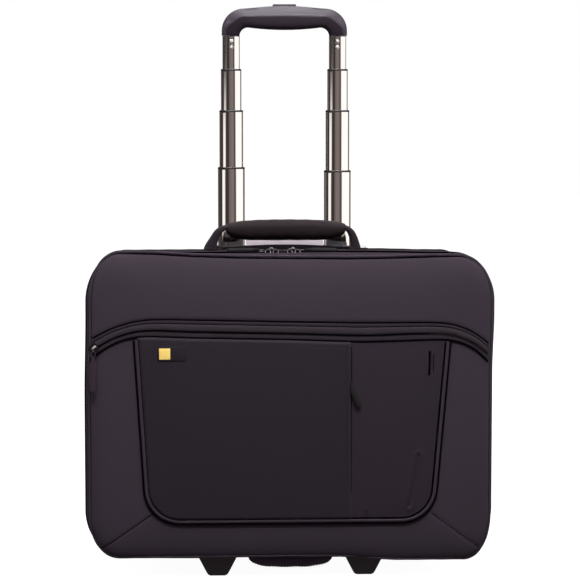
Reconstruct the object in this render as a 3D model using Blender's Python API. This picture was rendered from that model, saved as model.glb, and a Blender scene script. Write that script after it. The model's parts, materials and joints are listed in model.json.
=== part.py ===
"""Rolling laptop case: a soft case on two wheels with a four stage telescopic handle.

Metres, +Z up. The front faces -Y and the origin is on the floor under the middle of the case.
"""

import math

import bmesh
import bpy
from mathutils import Matrix, Vector

# Case body. The outline is the same rounded rectangle for every panel, set in by a margin.
HALF_WIDTH = 0.2315
BOTTOM_Z = 0.024
TOP_Z = 0.371
TOP_RADIUS = 0.058
BOTTOM_RADIUS = 0.050
CORNER_STEPS = 6
BAND_END_X = 0.178
FRONT_Y = -0.105
PARTING_Y = -0.063
SHELL_BACK_Y = 0.0865
BACK_PANEL_Y = 0.0928
FRONT_INSET = 0.006
BACK_INSET = 0.008
WALL = 0.004
GAP = 0.0003
PANEL_WALL = 0.005
FLOOR_WALL = 0.005
SLEEVE_LOW_Z = BOTTOM_Z + FLOOR_WALL + GAP

# Zip tapes on each side of the parting line.
TAPE_WIDTH = 0.0036
TAPE_WALL = 0.0016

# Telescopic handle. Stage 0 is fixed in the case, stage 1 carries the grip.
TUBE_X = 0.06325
TUBE_Y = 0.073
TUBE_HALF_X = {1: 0.0107, 2: 0.0127, 3: 0.0147, 4: 0.0167, 0: 0.0187}
TUBE_HALF_Y = {1: 0.0052, 2: 0.0068, 3: 0.0084, 4: 0.0100, 0: 0.0116}
TUBE_WALL = 0.0011
TUBE_STEPS = 20
TUBE_EXPONENT = 2.5
STAGE_LENGTH = 0.235
STAGE_TOP_Z = {4: 0.461, 3: 0.529, 2: 0.578, 1: 0.619}
STAGE_4_RIGHT_DROP = 0.004
BEZEL_TOP_Z = 0.3680
BEZEL_LIP_Z = 0.3703
BEZEL_DEPTH = 0.0100
FIXED_TUBE_Z = (0.030, 0.3665)

# Grip, measured up from the lower end of its legs.
GRIP_Z = 0.619
GRIP_CORNER_X = 0.0525
GRIP_CORNER_Z = 0.010
GRIP_CORNER_RADIUS = 0.0222
GRIP_INNER_X = 0.0415
GRIP_INNER_RADIUS = 0.0105
GRIP_CROWN = 0.0031
GRIP_BELLY = 0.003
PAD_HALF_X = 0.0440
PAD_TOP = 0.0244
CORE_HALF_Y = 0.0085
CORE_BOTTOM = 0.0135
BAR_HALF_X = 0.0655
BAR_Z = (0.0212, 0.0248)
BUTTON_HALF_X = 0.0138
BUTTON_HALF_Y = 0.0052
BUTTON_TRAVEL = 0.004
BUTTON_TOP = 0.0375
ROD_RADIUS = 0.0015
PLUG_LENGTH = 0.029
RIVET_DROPS = (0.0078, 0.0150)
RIVET_HEAD_RADIUS = 0.0025

# Wheels, feet and base.
WHEEL_X = 0.165
WHEEL_Y = 0.086
WHEEL_RADIUS = 0.030
WHEEL_HALF_WIDTH = 0.012
AXLE_RADIUS = 0.004
HOUSING_RADIUS = 0.0365
WELL_RADIUS = 0.0325
WELL_HALF_WIDTH = 0.0145
HOUSING_HALF_WIDTH = 0.0185
BASE_FLOOR_Z = (0.0165, 0.0235)
BASE_FRONT_Y = 0.0585
FOOT_X = 0.084
FOOT_HALF_TOP = 0.021
FOOT_HALF_BOTTOM = 0.0092
FOOT_Y = (-0.087, -0.057)
BOTTOM_HANDLE_HALF_X = 0.048
BOTTOM_HANDLE_Y = -0.075
BOTTOM_HANDLE_LOW_Z = 0.0075

# The two main sliders meet a little left of the middle.
MAIN_ZIP_X = -0.0085

# Carry handle on the top.
CARRY_Y = 0.036
CARRY_BASE_X = 0.0865
CARRY_PAD_HALF_X = 0.071
CARRY_PAD_Z = 0.390
STRAP_HALF_Y = 0.0125
STRAP_HALF_WALLS = (0.0046, 0.0042, 0.0034, 0.0026, 0.0019, 0.0018)

# Front pocket: an arched zip flap over a raised panel with an overlapping fold.
FLAP_TOP_Z = 0.2955
FLAP_TOP_RADIUS = 0.088
FLAP_TOP_X = 0.161
FLAP_LOW_Z = 0.277
FLAP_LOW_RADIUS = 0.120
FLAP_LOW_X = 0.152
FLAP_END_X = 0.2235
POCKET_TOP_Z = 0.2715
POCKET_TOP_HALF_X = 0.1745
POCKET_LOW_HALF_X = 0.160
POCKET_LOW_Z = 0.067
POCKET_RADIUS = 0.038
FOLD_X = 0.0672
CHANNEL_X = 0.0580
POCKET_FRONT_Y = -0.1135
POCKET_RIGHT_Y = -0.1100
ZIP_ARC_X = 0.156
ZIP_ARC_Z = 0.186
ZIP_ARC_RADIUS = 0.0985
ZIP_ARC_REST_DEG = 42.0

SIDES = {"left": -1, "right": 1}

PALETTE = {
    "twill": ((0.040, 0.034, 0.043), 0.85, 0.0),
    "smooth_fabric": ((0.024, 0.020, 0.025), 0.8, 0.0),
    "webbing": ((0.020, 0.017, 0.020), 0.8, 0.0),
    "lining": ((0.10, 0.10, 0.11), 0.9, 0.0),
    "zip_tape": ((0.018, 0.017, 0.019), 0.8, 0.0),
    "zip_metal": ((0.55, 0.55, 0.57), 0.3, 1.0),
    "tube_metal": ((0.62, 0.60, 0.60), 0.25, 1.0),
    "steel": ((0.72, 0.72, 0.74), 0.3, 1.0),
    "brace_metal": ((0.42, 0.40, 0.42), 0.4, 0.8),
    "black_plastic": ((0.022, 0.021, 0.025), 0.45, 0.0),
    "soft_grip": ((0.028, 0.026, 0.030), 0.7, 0.0),
    "tyre": ((0.020, 0.020, 0.020), 0.7, 0.0),
    "hub": ((0.16, 0.16, 0.17), 0.5, 0.0),
    "label": ((0.65, 0.42, 0.06), 0.6, 0.0),
}


# ---- Helpers -------------------------------------------------------------------------------------


def material(name):
    """A Principled material made once from the palette."""
    found = bpy.data.materials.get(name)
    if found:
        return found
    colour, roughness, metallic = PALETTE[name]
    made = bpy.data.materials.new(name)
    made.use_nodes = True
    shader = made.node_tree.nodes["Principled BSDF"]
    shader.inputs["Base Color"].default_value = (*colour, 1.0)
    shader.inputs["Roughness"].default_value = roughness
    shader.inputs["Metallic"].default_value = metallic
    return made


def put(points, axis, value):
    """Flat (u, v) points put at a distance along an axis: X takes (y, z), Y takes (x, z), Z takes (x, y)."""
    if axis == "X":
        return [Vector((value, u, v)) for u, v in points]
    if axis == "Y":
        return [Vector((u, value, v)) for u, v in points]
    return [Vector((u, v, value)) for u, v in points]


def loft(rings, looped=False):
    """A closed surface through rings of points. A looped loft joins the last ring to the first."""
    bm = bmesh.new()
    rows = [[bm.verts.new(point) for point in ring] for ring in rings]
    pairs = list(zip(rows, rows[1:]))
    if looped:
        pairs.append((rows[-1], rows[0]))
    count = len(rows[0])
    for first, second in pairs:
        for k in range(count):
            after = (k + 1) % count
            bm.faces.new((first[k], first[after], second[after], second[k]))
    if not looped:
        bm.faces.new(rows[0])
        bm.faces.new(rows[-1])
    bmesh.ops.recalc_face_normals(bm, faces=bm.faces)
    mesh = bpy.data.meshes.new("shape")
    bm.to_mesh(mesh)
    bm.free()
    return mesh


def prism(outline, axis, low, high):
    """A flat outline extruded along an axis."""
    return loft([put(outline, axis, low), put(outline, axis, high)])


def box(x, y, z):
    """A box mesh from three (low, high) pairs."""
    corners = [(x[0], y[0]), (x[1], y[0]), (x[1], y[1]), (x[0], y[1])]
    return prism(corners, "Z", z[0], z[1])


def circle(u, v, radius, steps):
    """Points round a circle."""
    turns = [2 * math.pi * k / steps for k in range(steps)]
    return [(u + radius * math.cos(t), v + radius * math.sin(t)) for t in turns]


def arc(u, v, radius, start_deg, end_deg, steps):
    """Points along an arc, both ends included."""
    angles = [math.radians(start_deg + (end_deg - start_deg) * k / steps) for k in range(steps + 1)]
    return [(u + radius * math.cos(t), v + radius * math.sin(t)) for t in angles]


def oval(half_u, half_v, steps=TUBE_STEPS, exponent=TUBE_EXPONENT):
    """Points round a superellipse about the origin."""
    points = []
    for k in range(steps):
        turn = 2 * math.pi * k / steps
        c, s = math.cos(turn), math.sin(turn)
        u = math.copysign(abs(c) ** (2 / exponent), c) * half_u
        v = math.copysign(abs(s) ** (2 / exponent), s) * half_v
        points.append((u, v))
    return points


def node(name, mesh, palette, location=(0, 0, 0), smooth=True):
    """A named part with its material."""
    made = bpy.data.objects.new(name, mesh)
    made.location = location
    if not mesh.materials:
        mesh.materials.append(material(palette))
    if smooth:
        mesh.shade_smooth()
        mesh.set_sharp_from_angle(angle=math.radians(35))
    bpy.context.scene.collection.objects.link(made)
    return made


def helper(name, mesh, location=(0, 0, 0)):
    """A shape used only by a Boolean."""
    made = bpy.data.objects.new("helper_" + name, mesh)
    made.location = location
    made.hide_render = True
    made.display_type = "WIRE"
    bpy.context.scene.collection.objects.link(made)
    return made


def boolean(target, other, operation="DIFFERENCE"):
    """Cuts, joins or intersects target with a helper."""
    modifier = target.modifiers.new(operation.lower(), "BOOLEAN")
    modifier.operation = operation
    modifier.object = other
    modifier.solver = "EXACT"


def joint(name, location):
    """An empty on a joint's axis."""
    made = bpy.data.objects.new("joint_" + name, None)
    made.location = location
    made.empty_display_size = 0.02
    bpy.context.scene.collection.objects.link(made)
    return made


def hang(parent, *children):
    """Children follow the parent and stay where they are now."""
    for child in children:
        child.parent = parent
        child.matrix_parent_inverse = Matrix.Translation(parent.location).inverted()


# ---- Case outline --------------------------------------------------------------------------------


def case_path(inset, end_x=BAND_END_X):
    """(x, z) from the lower left end of the band, round over the top, to the lower right end."""
    side = HALF_WIDTH - inset
    low, high = BOTTOM_Z + inset, TOP_Z - inset
    r_low, r_top = BOTTOM_RADIUS - inset, TOP_RADIUS - inset
    points = [(-end_x, low)]
    points += arc(-(side - r_low), low + r_low, r_low, 270, 180, CORNER_STEPS)
    points += arc(-(side - r_top), high - r_top, r_top, 180, 90, CORNER_STEPS)
    points += arc(side - r_top, high - r_top, r_top, 90, 0, CORNER_STEPS)
    points += arc(side - r_low, low + r_low, r_low, 0, -90, CORNER_STEPS)
    points.append((end_x, low))
    return points


def band(front_y, back_y, front_inset, back_inset, wall):
    """An open band of fabric that follows the case outline."""
    outer_front = put(case_path(front_inset), "Y", front_y)
    outer_back = put(case_path(back_inset), "Y", back_y)
    inner_front = put(case_path(front_inset + wall), "Y", front_y)
    inner_back = put(case_path(back_inset + wall), "Y", back_y)
    return loft(list(zip(outer_front, outer_back, inner_back, inner_front)))


def top_z(y):
    """Height of the case's top behind the parting line, where it falls gently to the back edge."""
    start = PARTING_Y + TAPE_WIDTH
    return TOP_Z - BACK_INSET * (y - start) / (SHELL_BACK_Y - start)


# ---- Case shells ---------------------------------------------------------------------------------


def wheel_notch(name, margin):
    """The room that the two wheel housings take out of a panel."""
    half = HOUSING_HALF_WIDTH + margin
    notches = []
    for side, sign in SIDES.items():
        span = (sign * WHEEL_X - half, sign * WHEEL_X + half)
        depth = (WHEEL_Y - HOUSING_RADIUS - margin, 0.15)
        rise = (-0.01, WHEEL_RADIUS + HOUSING_RADIUS + margin)
        notches.append(helper(f"{name}_notch_{side}", box(span, depth, rise)))
    return notches


def rear_section():
    """The deep half of the case, with its boards and linings."""
    tape_back = PARTING_Y + 0.0002 + TAPE_WIDTH
    mesh = band(tape_back + 0.0004, SHELL_BACK_Y, 0.0, BACK_INSET, WALL)
    shell = node("rear_gusset", mesh, "twill")
    for notch in wheel_notch("rear_gusset", 0.003):
        boolean(shell, notch)
    top_hole = ((-0.0830, 0.0830), (0.0590, 0.0863), (TOP_Z - 0.03, TOP_Z + 0.02))
    boolean(shell, helper("bezel_hole", box(*top_hole)))

    back = node("back_panel", prism(case_path(BACK_INSET), "Y", SHELL_BACK_Y + GAP, BACK_PANEL_Y), "twill")
    for notch in wheel_notch("back_panel", 0.003):
        boolean(back, notch)

    lining_outline = [p for p in case_path(WALL + BACK_INSET) if p[1] > 0.078]
    lining_outline = [(lining_outline[0][0], 0.078), *lining_outline, (lining_outline[-1][0], 0.078)]
    node("tube_cover_panel", prism(lining_outline, "Y", 0.0545, 0.0575), "lining")

    sleeve = [(-0.165, SLEEVE_LOW_Z), (0.165, SLEEVE_LOW_Z), (0.200, 0.070), (0.200, 0.255), (0.120, 0.300)]
    sleeve += [(-0.120, 0.300), (-0.200, 0.255), (-0.200, 0.070)]
    node("laptop_sleeve", prism(sleeve, "Y", 0.0215, 0.0265), "lining")

    wide, narrow = BAND_END_X - 0.0015, WHEEL_X - HOUSING_HALF_WIDTH - 0.001
    step_y = WHEEL_Y - HOUSING_RADIUS - 0.001
    floor = [
        (-wide, FRONT_Y + 0.0008),
        (wide, FRONT_Y + 0.0008),
        (wide, step_y),
        (narrow, step_y),
        (narrow, BASE_FRONT_Y - GAP),
        (-narrow, BASE_FRONT_Y - GAP),
        (-narrow, step_y),
        (-wide, step_y),
    ]
    node("bottom_panel", prism(floor, "Z", BOTTOM_Z, BOTTOM_Z + FLOOR_WALL), "twill")
    tape = band(PARTING_Y + 0.0002, tape_back, 0.0, 0.0, TAPE_WALL)
    node("rear_zip_tape", tape, "zip_tape")


def lid(hinge):
    """The front section, which folds forward about its lower front edge."""
    tape_front = PARTING_Y - 0.0002 - TAPE_WIDTH
    gusset = node(
        "front_gusset",
        band(FRONT_Y + GAP, tape_front - 0.0004, FRONT_INSET, 0.0, WALL),
        "twill",
    )
    tape = node(
        "front_zip_tape",
        band(tape_front, PARTING_Y - 0.0002, 0.0, 0.0, TAPE_WALL),
        "zip_tape",
    )
    sheet = prism(case_path(FRONT_INSET), "Y", FRONT_Y - PANEL_WALL + 0.001, FRONT_Y)
    panel = node("front_panel", sheet, "twill")
    hang(hinge, gusset, tape, panel)
    return FRONT_Y - PANEL_WALL + 0.001


def flap_edge(z_top, radius, corner_x):
    """(x, z) along an arched edge, from the left end to the right end."""
    centre = z_top - radius
    sweep = math.degrees(math.asin((FLAP_END_X - corner_x) / radius))
    left = arc(-corner_x, centre, radius, 90 + sweep, 90, 8)
    right = arc(corner_x, centre, radius, 90, 90 - sweep, 8)
    return left + right


def pocket_outline(margin=0.0):
    """(x, z) round the raised pocket panel, from its upper left corner anticlockwise."""
    top, low = POCKET_TOP_Z - margin, POCKET_LOW_Z + margin
    wide, narrow = POCKET_TOP_HALF_X - margin, POCKET_LOW_HALF_X - margin
    radius = POCKET_RADIUS - margin
    points = [(-wide, top)]
    points += arc(-(narrow - radius), low + radius, radius, 184, 270, 8)
    points += arc(narrow - radius, low + radius, radius, 270, 356, 8)
    points.append((wide, top))
    return points


def front_pocket(hinge, face_y):
    """The arched zip flap and the two overlapping leaves of the pocket."""
    top = flap_edge(FLAP_TOP_Z, FLAP_TOP_RADIUS, FLAP_TOP_X)
    low = flap_edge(FLAP_LOW_Z, FLAP_LOW_RADIUS, FLAP_LOW_X)
    flap = node("pocket_zip_flap", prism(top + low[::-1], "Y", face_y - 0.0026, face_y - GAP), "zip_tape")

    back_y = face_y - GAP
    left = node("pocket_panel_left", prism(pocket_outline(), "Y", POCKET_FRONT_Y, back_y), "smooth_fabric")
    boolean(left, helper("fold_trim", box((FOLD_X, 0.3), (-0.2, 0.0), (0.0, 0.4))))
    channel = box((CHANNEL_X, 0.3), (POCKET_FRONT_Y + 0.001, 0.0), (0.0, 0.4))
    boolean(left, helper("fold_channel", channel))
    right = node("pocket_panel_right", prism(pocket_outline(), "Y", POCKET_RIGHT_Y, back_y), "smooth_fabric")
    boolean(right, helper("right_trim", box((-0.3, FOLD_X + 0.0006), (-0.2, 0.0), (0.0, 0.4))))

    label = node(
        "blank_label",
        prism([(-0.149, 0.2490), (-0.116, 0.2490), (-0.116, 0.2655), (-0.149, 0.2655)],
              "Y", POCKET_FRONT_Y - 0.0012, POCKET_FRONT_Y - GAP),
        "label",
    )
    hang(hinge, flap, left, right, label)


# ---- Zip sliders and pulls -----------------------------------------------------------------------


def slider_mesh(length, width, height):
    """A zip slider's upper wing, pointed at one end, with a low bridge. Long axis X, height Z."""
    wing = [
        (-length / 2, -width * 0.30),
        (-length * 0.1, -width / 2),
        (length / 2, -width / 2),
        (length / 2, width / 2),
        (-length * 0.1, width / 2),
        (-length / 2, width * 0.30),
    ]
    return prism(wing, "Z", 0.0, height)


def pull_mesh(length, width, wall):
    """A flat pull tab that hangs from its origin along -X, with a waist behind its eye."""
    outline = [
        (0.0015, -width * 0.35),
        (0.0015, width * 0.35),
        (-0.006, width * 0.25),
        (-0.011, width / 2),
        (-length + 0.002, width / 2),
        (-length, width * 0.3),
        (-length, -width * 0.3),
        (-length + 0.002, -width / 2),
        (-0.011, -width / 2),
        (-0.006, -width * 0.25),
    ]
    return prism(outline, "Z", 0.0, wall)


def main_sliders():
    """Two sliders that meet at the top centre, with their pulls lying outwards."""
    surface = TOP_Z + 0.0008
    slider = slider_mesh(0.012, 0.009, 0.0030)
    pull = pull_mesh(0.042, 0.0062, 0.0022)
    for side, sign in SIDES.items():
        place = Vector((MAIN_ZIP_X + sign * 0.0125, PARTING_Y, surface))
        body = node(f"main_slider_{side}", slider, "zip_metal", place)
        tab = node(f"main_pull_{side}", pull, "webbing", place + Vector((sign * 0.0085, 0, 0.0002)))
        if sign > 0:
            body.rotation_euler.z = math.pi
            tab.rotation_euler.z = math.pi


def upright(mesh_object, turn_deg):
    """Stands a flat piece against the front: its height goes to -Y, its long axis turns in the XZ plane."""
    lean = Matrix.Rotation(math.radians(90), 4, "X")
    mesh_object.rotation_mode = "QUATERNION"
    mesh_object.rotation_quaternion = (Matrix.Rotation(math.radians(turn_deg), 4, "Y") @ lean).to_quaternion()


def pocket_slider(hinge, face_y):
    """The slider at the left end of the arched zip, with its hanging pull."""
    lean = math.radians(ZIP_ARC_REST_DEG)
    place = Vector((-ZIP_ARC_X - ZIP_ARC_RADIUS * math.sin(lean), face_y - 0.0029,
                    ZIP_ARC_Z + ZIP_ARC_RADIUS * math.cos(lean)))
    arc_axis = joint("pocket_slider", (-ZIP_ARC_X, face_y, ZIP_ARC_Z))
    body = node("pocket_slider", slider_mesh(0.011, 0.0085, 0.0028), "zip_metal", place)
    upright(body, -ZIP_ARC_REST_DEG)
    hang_point = place + Vector((0.0, -0.0031, -0.0035))
    tab = node("pocket_pull", pull_mesh(0.046, 0.0066, 0.0022), "webbing", hang_point)
    upright(tab, -90)
    hang(arc_axis, body, tab)
    hang(hinge, arc_axis)


def side_slider(hinge, face_y):
    """The slider of the upright zip under the fold, with its pull leaning out over the right leaf."""
    place = Vector((0.0626, face_y - 0.0004, 0.2300))
    body = node("side_slider", slider_mesh(0.010, 0.0070, 0.0020), "zip_metal", place)
    upright(body, -90)
    hang_point = Vector((0.0640, POCKET_RIGHT_Y - 0.0005, 0.2225))
    tab = node("side_pull", pull_mesh(0.034, 0.0050, 0.0016), "webbing", hang_point)
    upright(tab, -90 - 24)
    hang(hinge, body, tab)


# ---- Telescopic handle ---------------------------------------------------------------------------


def tube_mesh(stage, length):
    """A hollow oval tube that reaches down from its origin."""
    outer = oval(TUBE_HALF_X[stage], TUBE_HALF_Y[stage])
    inner = oval(TUBE_HALF_X[stage] - TUBE_WALL, TUBE_HALF_Y[stage] - TUBE_WALL)
    rings = [put(outer, "Z", -length), put(outer, "Z", 0), put(inner, "Z", 0), put(inner, "Z", -length)]
    return loft(rings, looped=True)


def fixed_tubes():
    """The two outer tubes, from the base to the bezel."""
    low, high = FIXED_TUBE_Z
    mesh = tube_mesh(0, high - low)
    for side, sign in SIDES.items():
        node(f"fixed_tube_{side}", mesh, "tube_metal", (sign * TUBE_X, TUBE_Y, high))


def stage_tubes():
    """Stages 4, 3 and 2, whose two tubes slide together, and stage 1 under the grip."""
    for stage in (4, 3, 2, 1):
        mesh = tube_mesh(stage, STAGE_LENGTH)
        for side, sign in SIDES.items():
            top = STAGE_TOP_Z[stage] - (GAP if stage == 1 else 0.0)
            if stage == 4 and side == "right":
                top -= STAGE_4_RIGHT_DROP
            own = mesh.copy()
            own.name = f"stage_{stage}_{side}"
            tube = node(f"stage_{stage}_tube_{side}", own, "tube_metal", (sign * TUBE_X, TUBE_Y, top))
            if stage == 1:
                drill_stage_1(tube, side, sign)


def drill_stage_1(tube, side, sign):
    """Rivet holes at the top and the lock pin's hole at the foot of a stage 1 tube."""
    for number, drop in enumerate(RIVET_DROPS):
        hole = circle(sign * TUBE_X, GRIP_Z - drop, 0.0017, 14)
        boolean(tube, helper(f"rivet_hole_{side}_{number}", prism(hole, "Y", TUBE_Y - 0.010, TUBE_Y)))
    low, high = sorted((sign * TUBE_X, sign * (TUBE_X + 0.015)))
    hole = circle(TUBE_Y, lock_pin_z(), 0.0019, 14)
    boolean(tube, helper(f"pin_hole_{side}", prism(hole, "X", low, high)))


def lock_pin_z():
    """Height of the lock pins, near the lower end of stage 1."""
    return GRIP_Z - STAGE_LENGTH + 0.008


def locks():
    """Foot blocks in the stage 1 tubes, their sprung pins and the rods that work them."""
    foot_z = GRIP_Z - STAGE_LENGTH
    for side, sign in SIDES.items():
        block = node(f"lock_block_{side}", prism(oval(0.0092, 0.0037), "Z", 0.0, 0.0135), "black_plastic",
                     (sign * TUBE_X, TUBE_Y, foot_z + 0.0005))
        low, high = sorted((sign * (TUBE_X - 0.0035), sign * (TUBE_X + 0.015)))
        bore = circle(TUBE_Y, lock_pin_z(), 0.0018, 14)
        boolean(block, helper(f"lock_bore_{side}", prism(bore, "X", low, high)))
        tip, tail = sign * 0.0112, sign * 0.0010
        pin = prism(circle(0, 0, 0.0015, 12), "X", min(tip, tail), max(tip, tail))
        node(f"lock_pin_{side}", pin, "steel", (sign * TUBE_X, TUBE_Y, lock_pin_z()))
    rod_low, rod_high = foot_z + 0.0185, GRIP_Z + BAR_Z[0] - 0.0004
    rod = prism(circle(0, 0, ROD_RADIUS, 10), "Z", rod_low - rod_high, 0.0)
    for side, sign in SIDES.items():
        node(f"push_rod_{side}", rod, "steel", (sign * TUBE_X, TUBE_Y, rod_high))


def grip_sections():
    """(outer, inner, half depth) stations along the grip, from the left leg to the right leg."""
    stations = [((-0.0740, 0.0), (-0.0527, 0.0), 0.0066)]
    for k in range(7):
        turn = math.radians(180 - 90 * k / 6)
        c, s = math.cos(turn), math.sin(turn)
        outer = (-GRIP_CORNER_X + GRIP_CORNER_RADIUS * c, GRIP_CORNER_Z + GRIP_CORNER_RADIUS * s)
        inner = (-GRIP_INNER_X + GRIP_INNER_RADIUS * c, GRIP_INNER_RADIUS * s)
        stations.append((outer, inner, 0.0075 + 0.0040 * k / 6))
    for k in range(1, 5):
        share = k / 5
        bow = 1 - (1 - share) ** 2
        outer = (-GRIP_CORNER_X * (1 - share), GRIP_CORNER_Z + GRIP_CORNER_RADIUS + GRIP_CROWN * bow)
        inner = (-GRIP_INNER_X * (1 - share), GRIP_INNER_RADIUS - GRIP_BELLY * bow)
        stations.append((outer, inner, 0.0115 + 0.0020 * bow))
    middle_outer = (0.0, GRIP_CORNER_Z + GRIP_CORNER_RADIUS + GRIP_CROWN)
    middle = [(middle_outer, (0.0, GRIP_INNER_RADIUS - GRIP_BELLY), 0.0135)]
    mirrored = [((-o[0], o[1]), (-i[0], i[1]), depth) for o, i, depth in stations[::-1]]
    return stations + middle + mirrored


def grip_sweep():
    """The whole grip as one swept body, before it is split into shell and pad."""
    rings = []
    for outer, inner, depth in grip_sections():
        centre = Vector(((outer[0] + inner[0]) / 2, 0, (outer[1] + inner[1]) / 2))
        reach = Vector((outer[0] - inner[0], 0, outer[1] - inner[1])) / 2
        section = oval(1.0, depth, steps=16, exponent=2.6)
        rings.append([centre + reach * u + Vector((0, v, 0)) for u, v in section])
    return loft(rings)


def pad_room(margin):
    """The YZ outline of the space under and beside the grip's core."""
    side, top = 0.02, PAD_TOP + margin
    core, core_low = CORE_HALF_Y + (GAP - margin), CORE_BOTTOM - (GAP - margin)
    return [(-side, -0.005), (side, -0.005), (side, top), (core, top),
            (core, core_low), (-core, core_low), (-core, top), (-side, top)]


def grip():
    """Upper shell with its plugs, soft lower pad, release button and rivets."""
    origin = (0, TUBE_Y, GRIP_Z)
    shell = node("grip_shell", grip_sweep(), "black_plastic", origin)
    for side, sign in SIDES.items():
        plug = prism(oval(0.0092, 0.0037), "Z", -PLUG_LENGTH, 0.006)
        boolean(shell, helper(f"plug_{side}", plug, (sign * TUBE_X, TUBE_Y, GRIP_Z)), "UNION")
    room = prism(pad_room(GAP), "X", -PAD_HALF_X - GAP, PAD_HALF_X + GAP)
    boolean(shell, helper("pad_room", room, origin))
    channel = box((-BAR_HALF_X - 0.0007, BAR_HALF_X + 0.0007), (-0.0034, 0.0034),
                  (BAR_Z[0] - BUTTON_TRAVEL - 0.0007, BAR_Z[1] + 0.0006))
    boolean(shell, helper("bar_channel", channel, origin))
    mouth = box((-BUTTON_HALF_X - 0.0004, BUTTON_HALF_X + 0.0004),
                (-BUTTON_HALF_Y - 0.0004, BUTTON_HALF_Y + 0.0004), (BAR_Z[0] - BUTTON_TRAVEL, 0.05))
    boolean(shell, helper("button_mouth", mouth, origin))
    for side, sign in SIDES.items():
        bore = prism(circle(0, 0, ROD_RADIUS + 0.0005, 12), "Z", -PLUG_LENGTH - 0.005, BAR_Z[0])
        boolean(shell, helper(f"rod_bore_{side}", bore, (sign * TUBE_X, TUBE_Y, GRIP_Z)))
        for number, drop in enumerate(RIVET_DROPS):
            hole = prism(circle(0, 0, 0.0016, 12), "Y", -0.02, -0.0024)
            place = (sign * TUBE_X, TUBE_Y, GRIP_Z - drop)
            boolean(shell, helper(f"plug_hole_{side}_{number}", hole, place))

    pad = node("grip_pad", grip_sweep(), "soft_grip", origin)
    boolean(pad, helper("pad_shape", prism(pad_room(0.0), "X", -PAD_HALF_X, PAD_HALF_X), origin), "INTERSECT")

    cap_z = (BAR_Z[0] + 0.0005, BUTTON_TOP)
    cap = box((-BUTTON_HALF_X, BUTTON_HALF_X), (-BUTTON_HALF_Y, BUTTON_HALF_Y), cap_z)
    button = node("release_button", cap, "black_plastic", origin)
    bar = box((-BAR_HALF_X, BAR_HALF_X), (-0.0029, 0.0029), BAR_Z)
    boolean(button, helper("button_bar", bar, origin), "UNION")
    rivets()


def rivets():
    """Two rivets through each stage 1 tube into the grip's plugs."""
    front = -TUBE_HALF_Y[1]
    head = put(circle(0, 0, RIVET_HEAD_RADIUS, 12), "Y", front - 0.0012)
    rim = put(circle(0, 0, RIVET_HEAD_RADIUS, 12), "Y", front - GAP)
    neck = put(circle(0, 0, 0.0013, 12), "Y", front - GAP)
    foot = put(circle(0, 0, 0.0013, 12), "Y", -0.0027)
    mesh = loft([head, rim, neck, foot])
    for side, sign in SIDES.items():
        for number, drop in enumerate(RIVET_DROPS, start=1):
            node(f"grip_rivet_{side}_{number}", mesh, "steel", (sign * TUBE_X, TUBE_Y, GRIP_Z - drop))


def bezel():
    """The plate that the tubes come up through, with an arched front lip, and the brace behind it."""
    low, high = BEZEL_TOP_Z - BEZEL_DEPTH, BEZEL_TOP_Z
    body = node("handle_bezel", box((-0.0822, 0.0822), (0.0598, 0.0855), (low, high)), "black_plastic")
    bow = 0.85
    crest = arc(0.0, BEZEL_LIP_Z - bow, bow, 95.2, 84.8, 12)
    lip = [(-0.0770, high - 0.002)] + crest + [(0.0770, high - 0.002)]
    boolean(body, helper("bezel_lip", prism(lip, "Y", 0.0594, 0.0608)), "UNION")
    for side, sign in SIDES.items():
        ring = oval(TUBE_HALF_X[4] + 0.0006, TUBE_HALF_Y[4] + 0.0006)
        hole = [(sign * TUBE_X + u, TUBE_Y + v) for u, v in ring]
        boolean(body, helper(f"bezel_bore_{side}", prism(hole, "Z", low - 0.01, high + 0.01)))
        ring = oval(TUBE_HALF_X[0] + GAP, TUBE_HALF_Y[0] + GAP)
        seat = [(sign * TUBE_X + u, TUBE_Y + v) for u, v in ring]
        boolean(body, helper(f"bezel_seat_{side}", prism(seat, "Z", low - 0.01, FIXED_TUBE_Z[1] + GAP)))
    node("tube_brace", box((-0.0460, 0.0460), (TUBE_Y - 0.007, TUBE_Y + 0.007), (high + GAP, high + 0.0150)),
         "brace_metal")


# ---- Wheels, base, feet --------------------------------------------------------------------------


def housing_outline():
    """(y, z) round one wheel housing."""
    points = [(WHEEL_Y - HOUSING_RADIUS, 0.0165)]
    points += arc(WHEEL_Y, WHEEL_RADIUS, HOUSING_RADIUS, 180, 31, 12)
    points += [(WHEEL_Y + 0.0308, WHEEL_RADIUS), (WHEEL_Y + 0.0200, 0.0165)]
    return points


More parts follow.
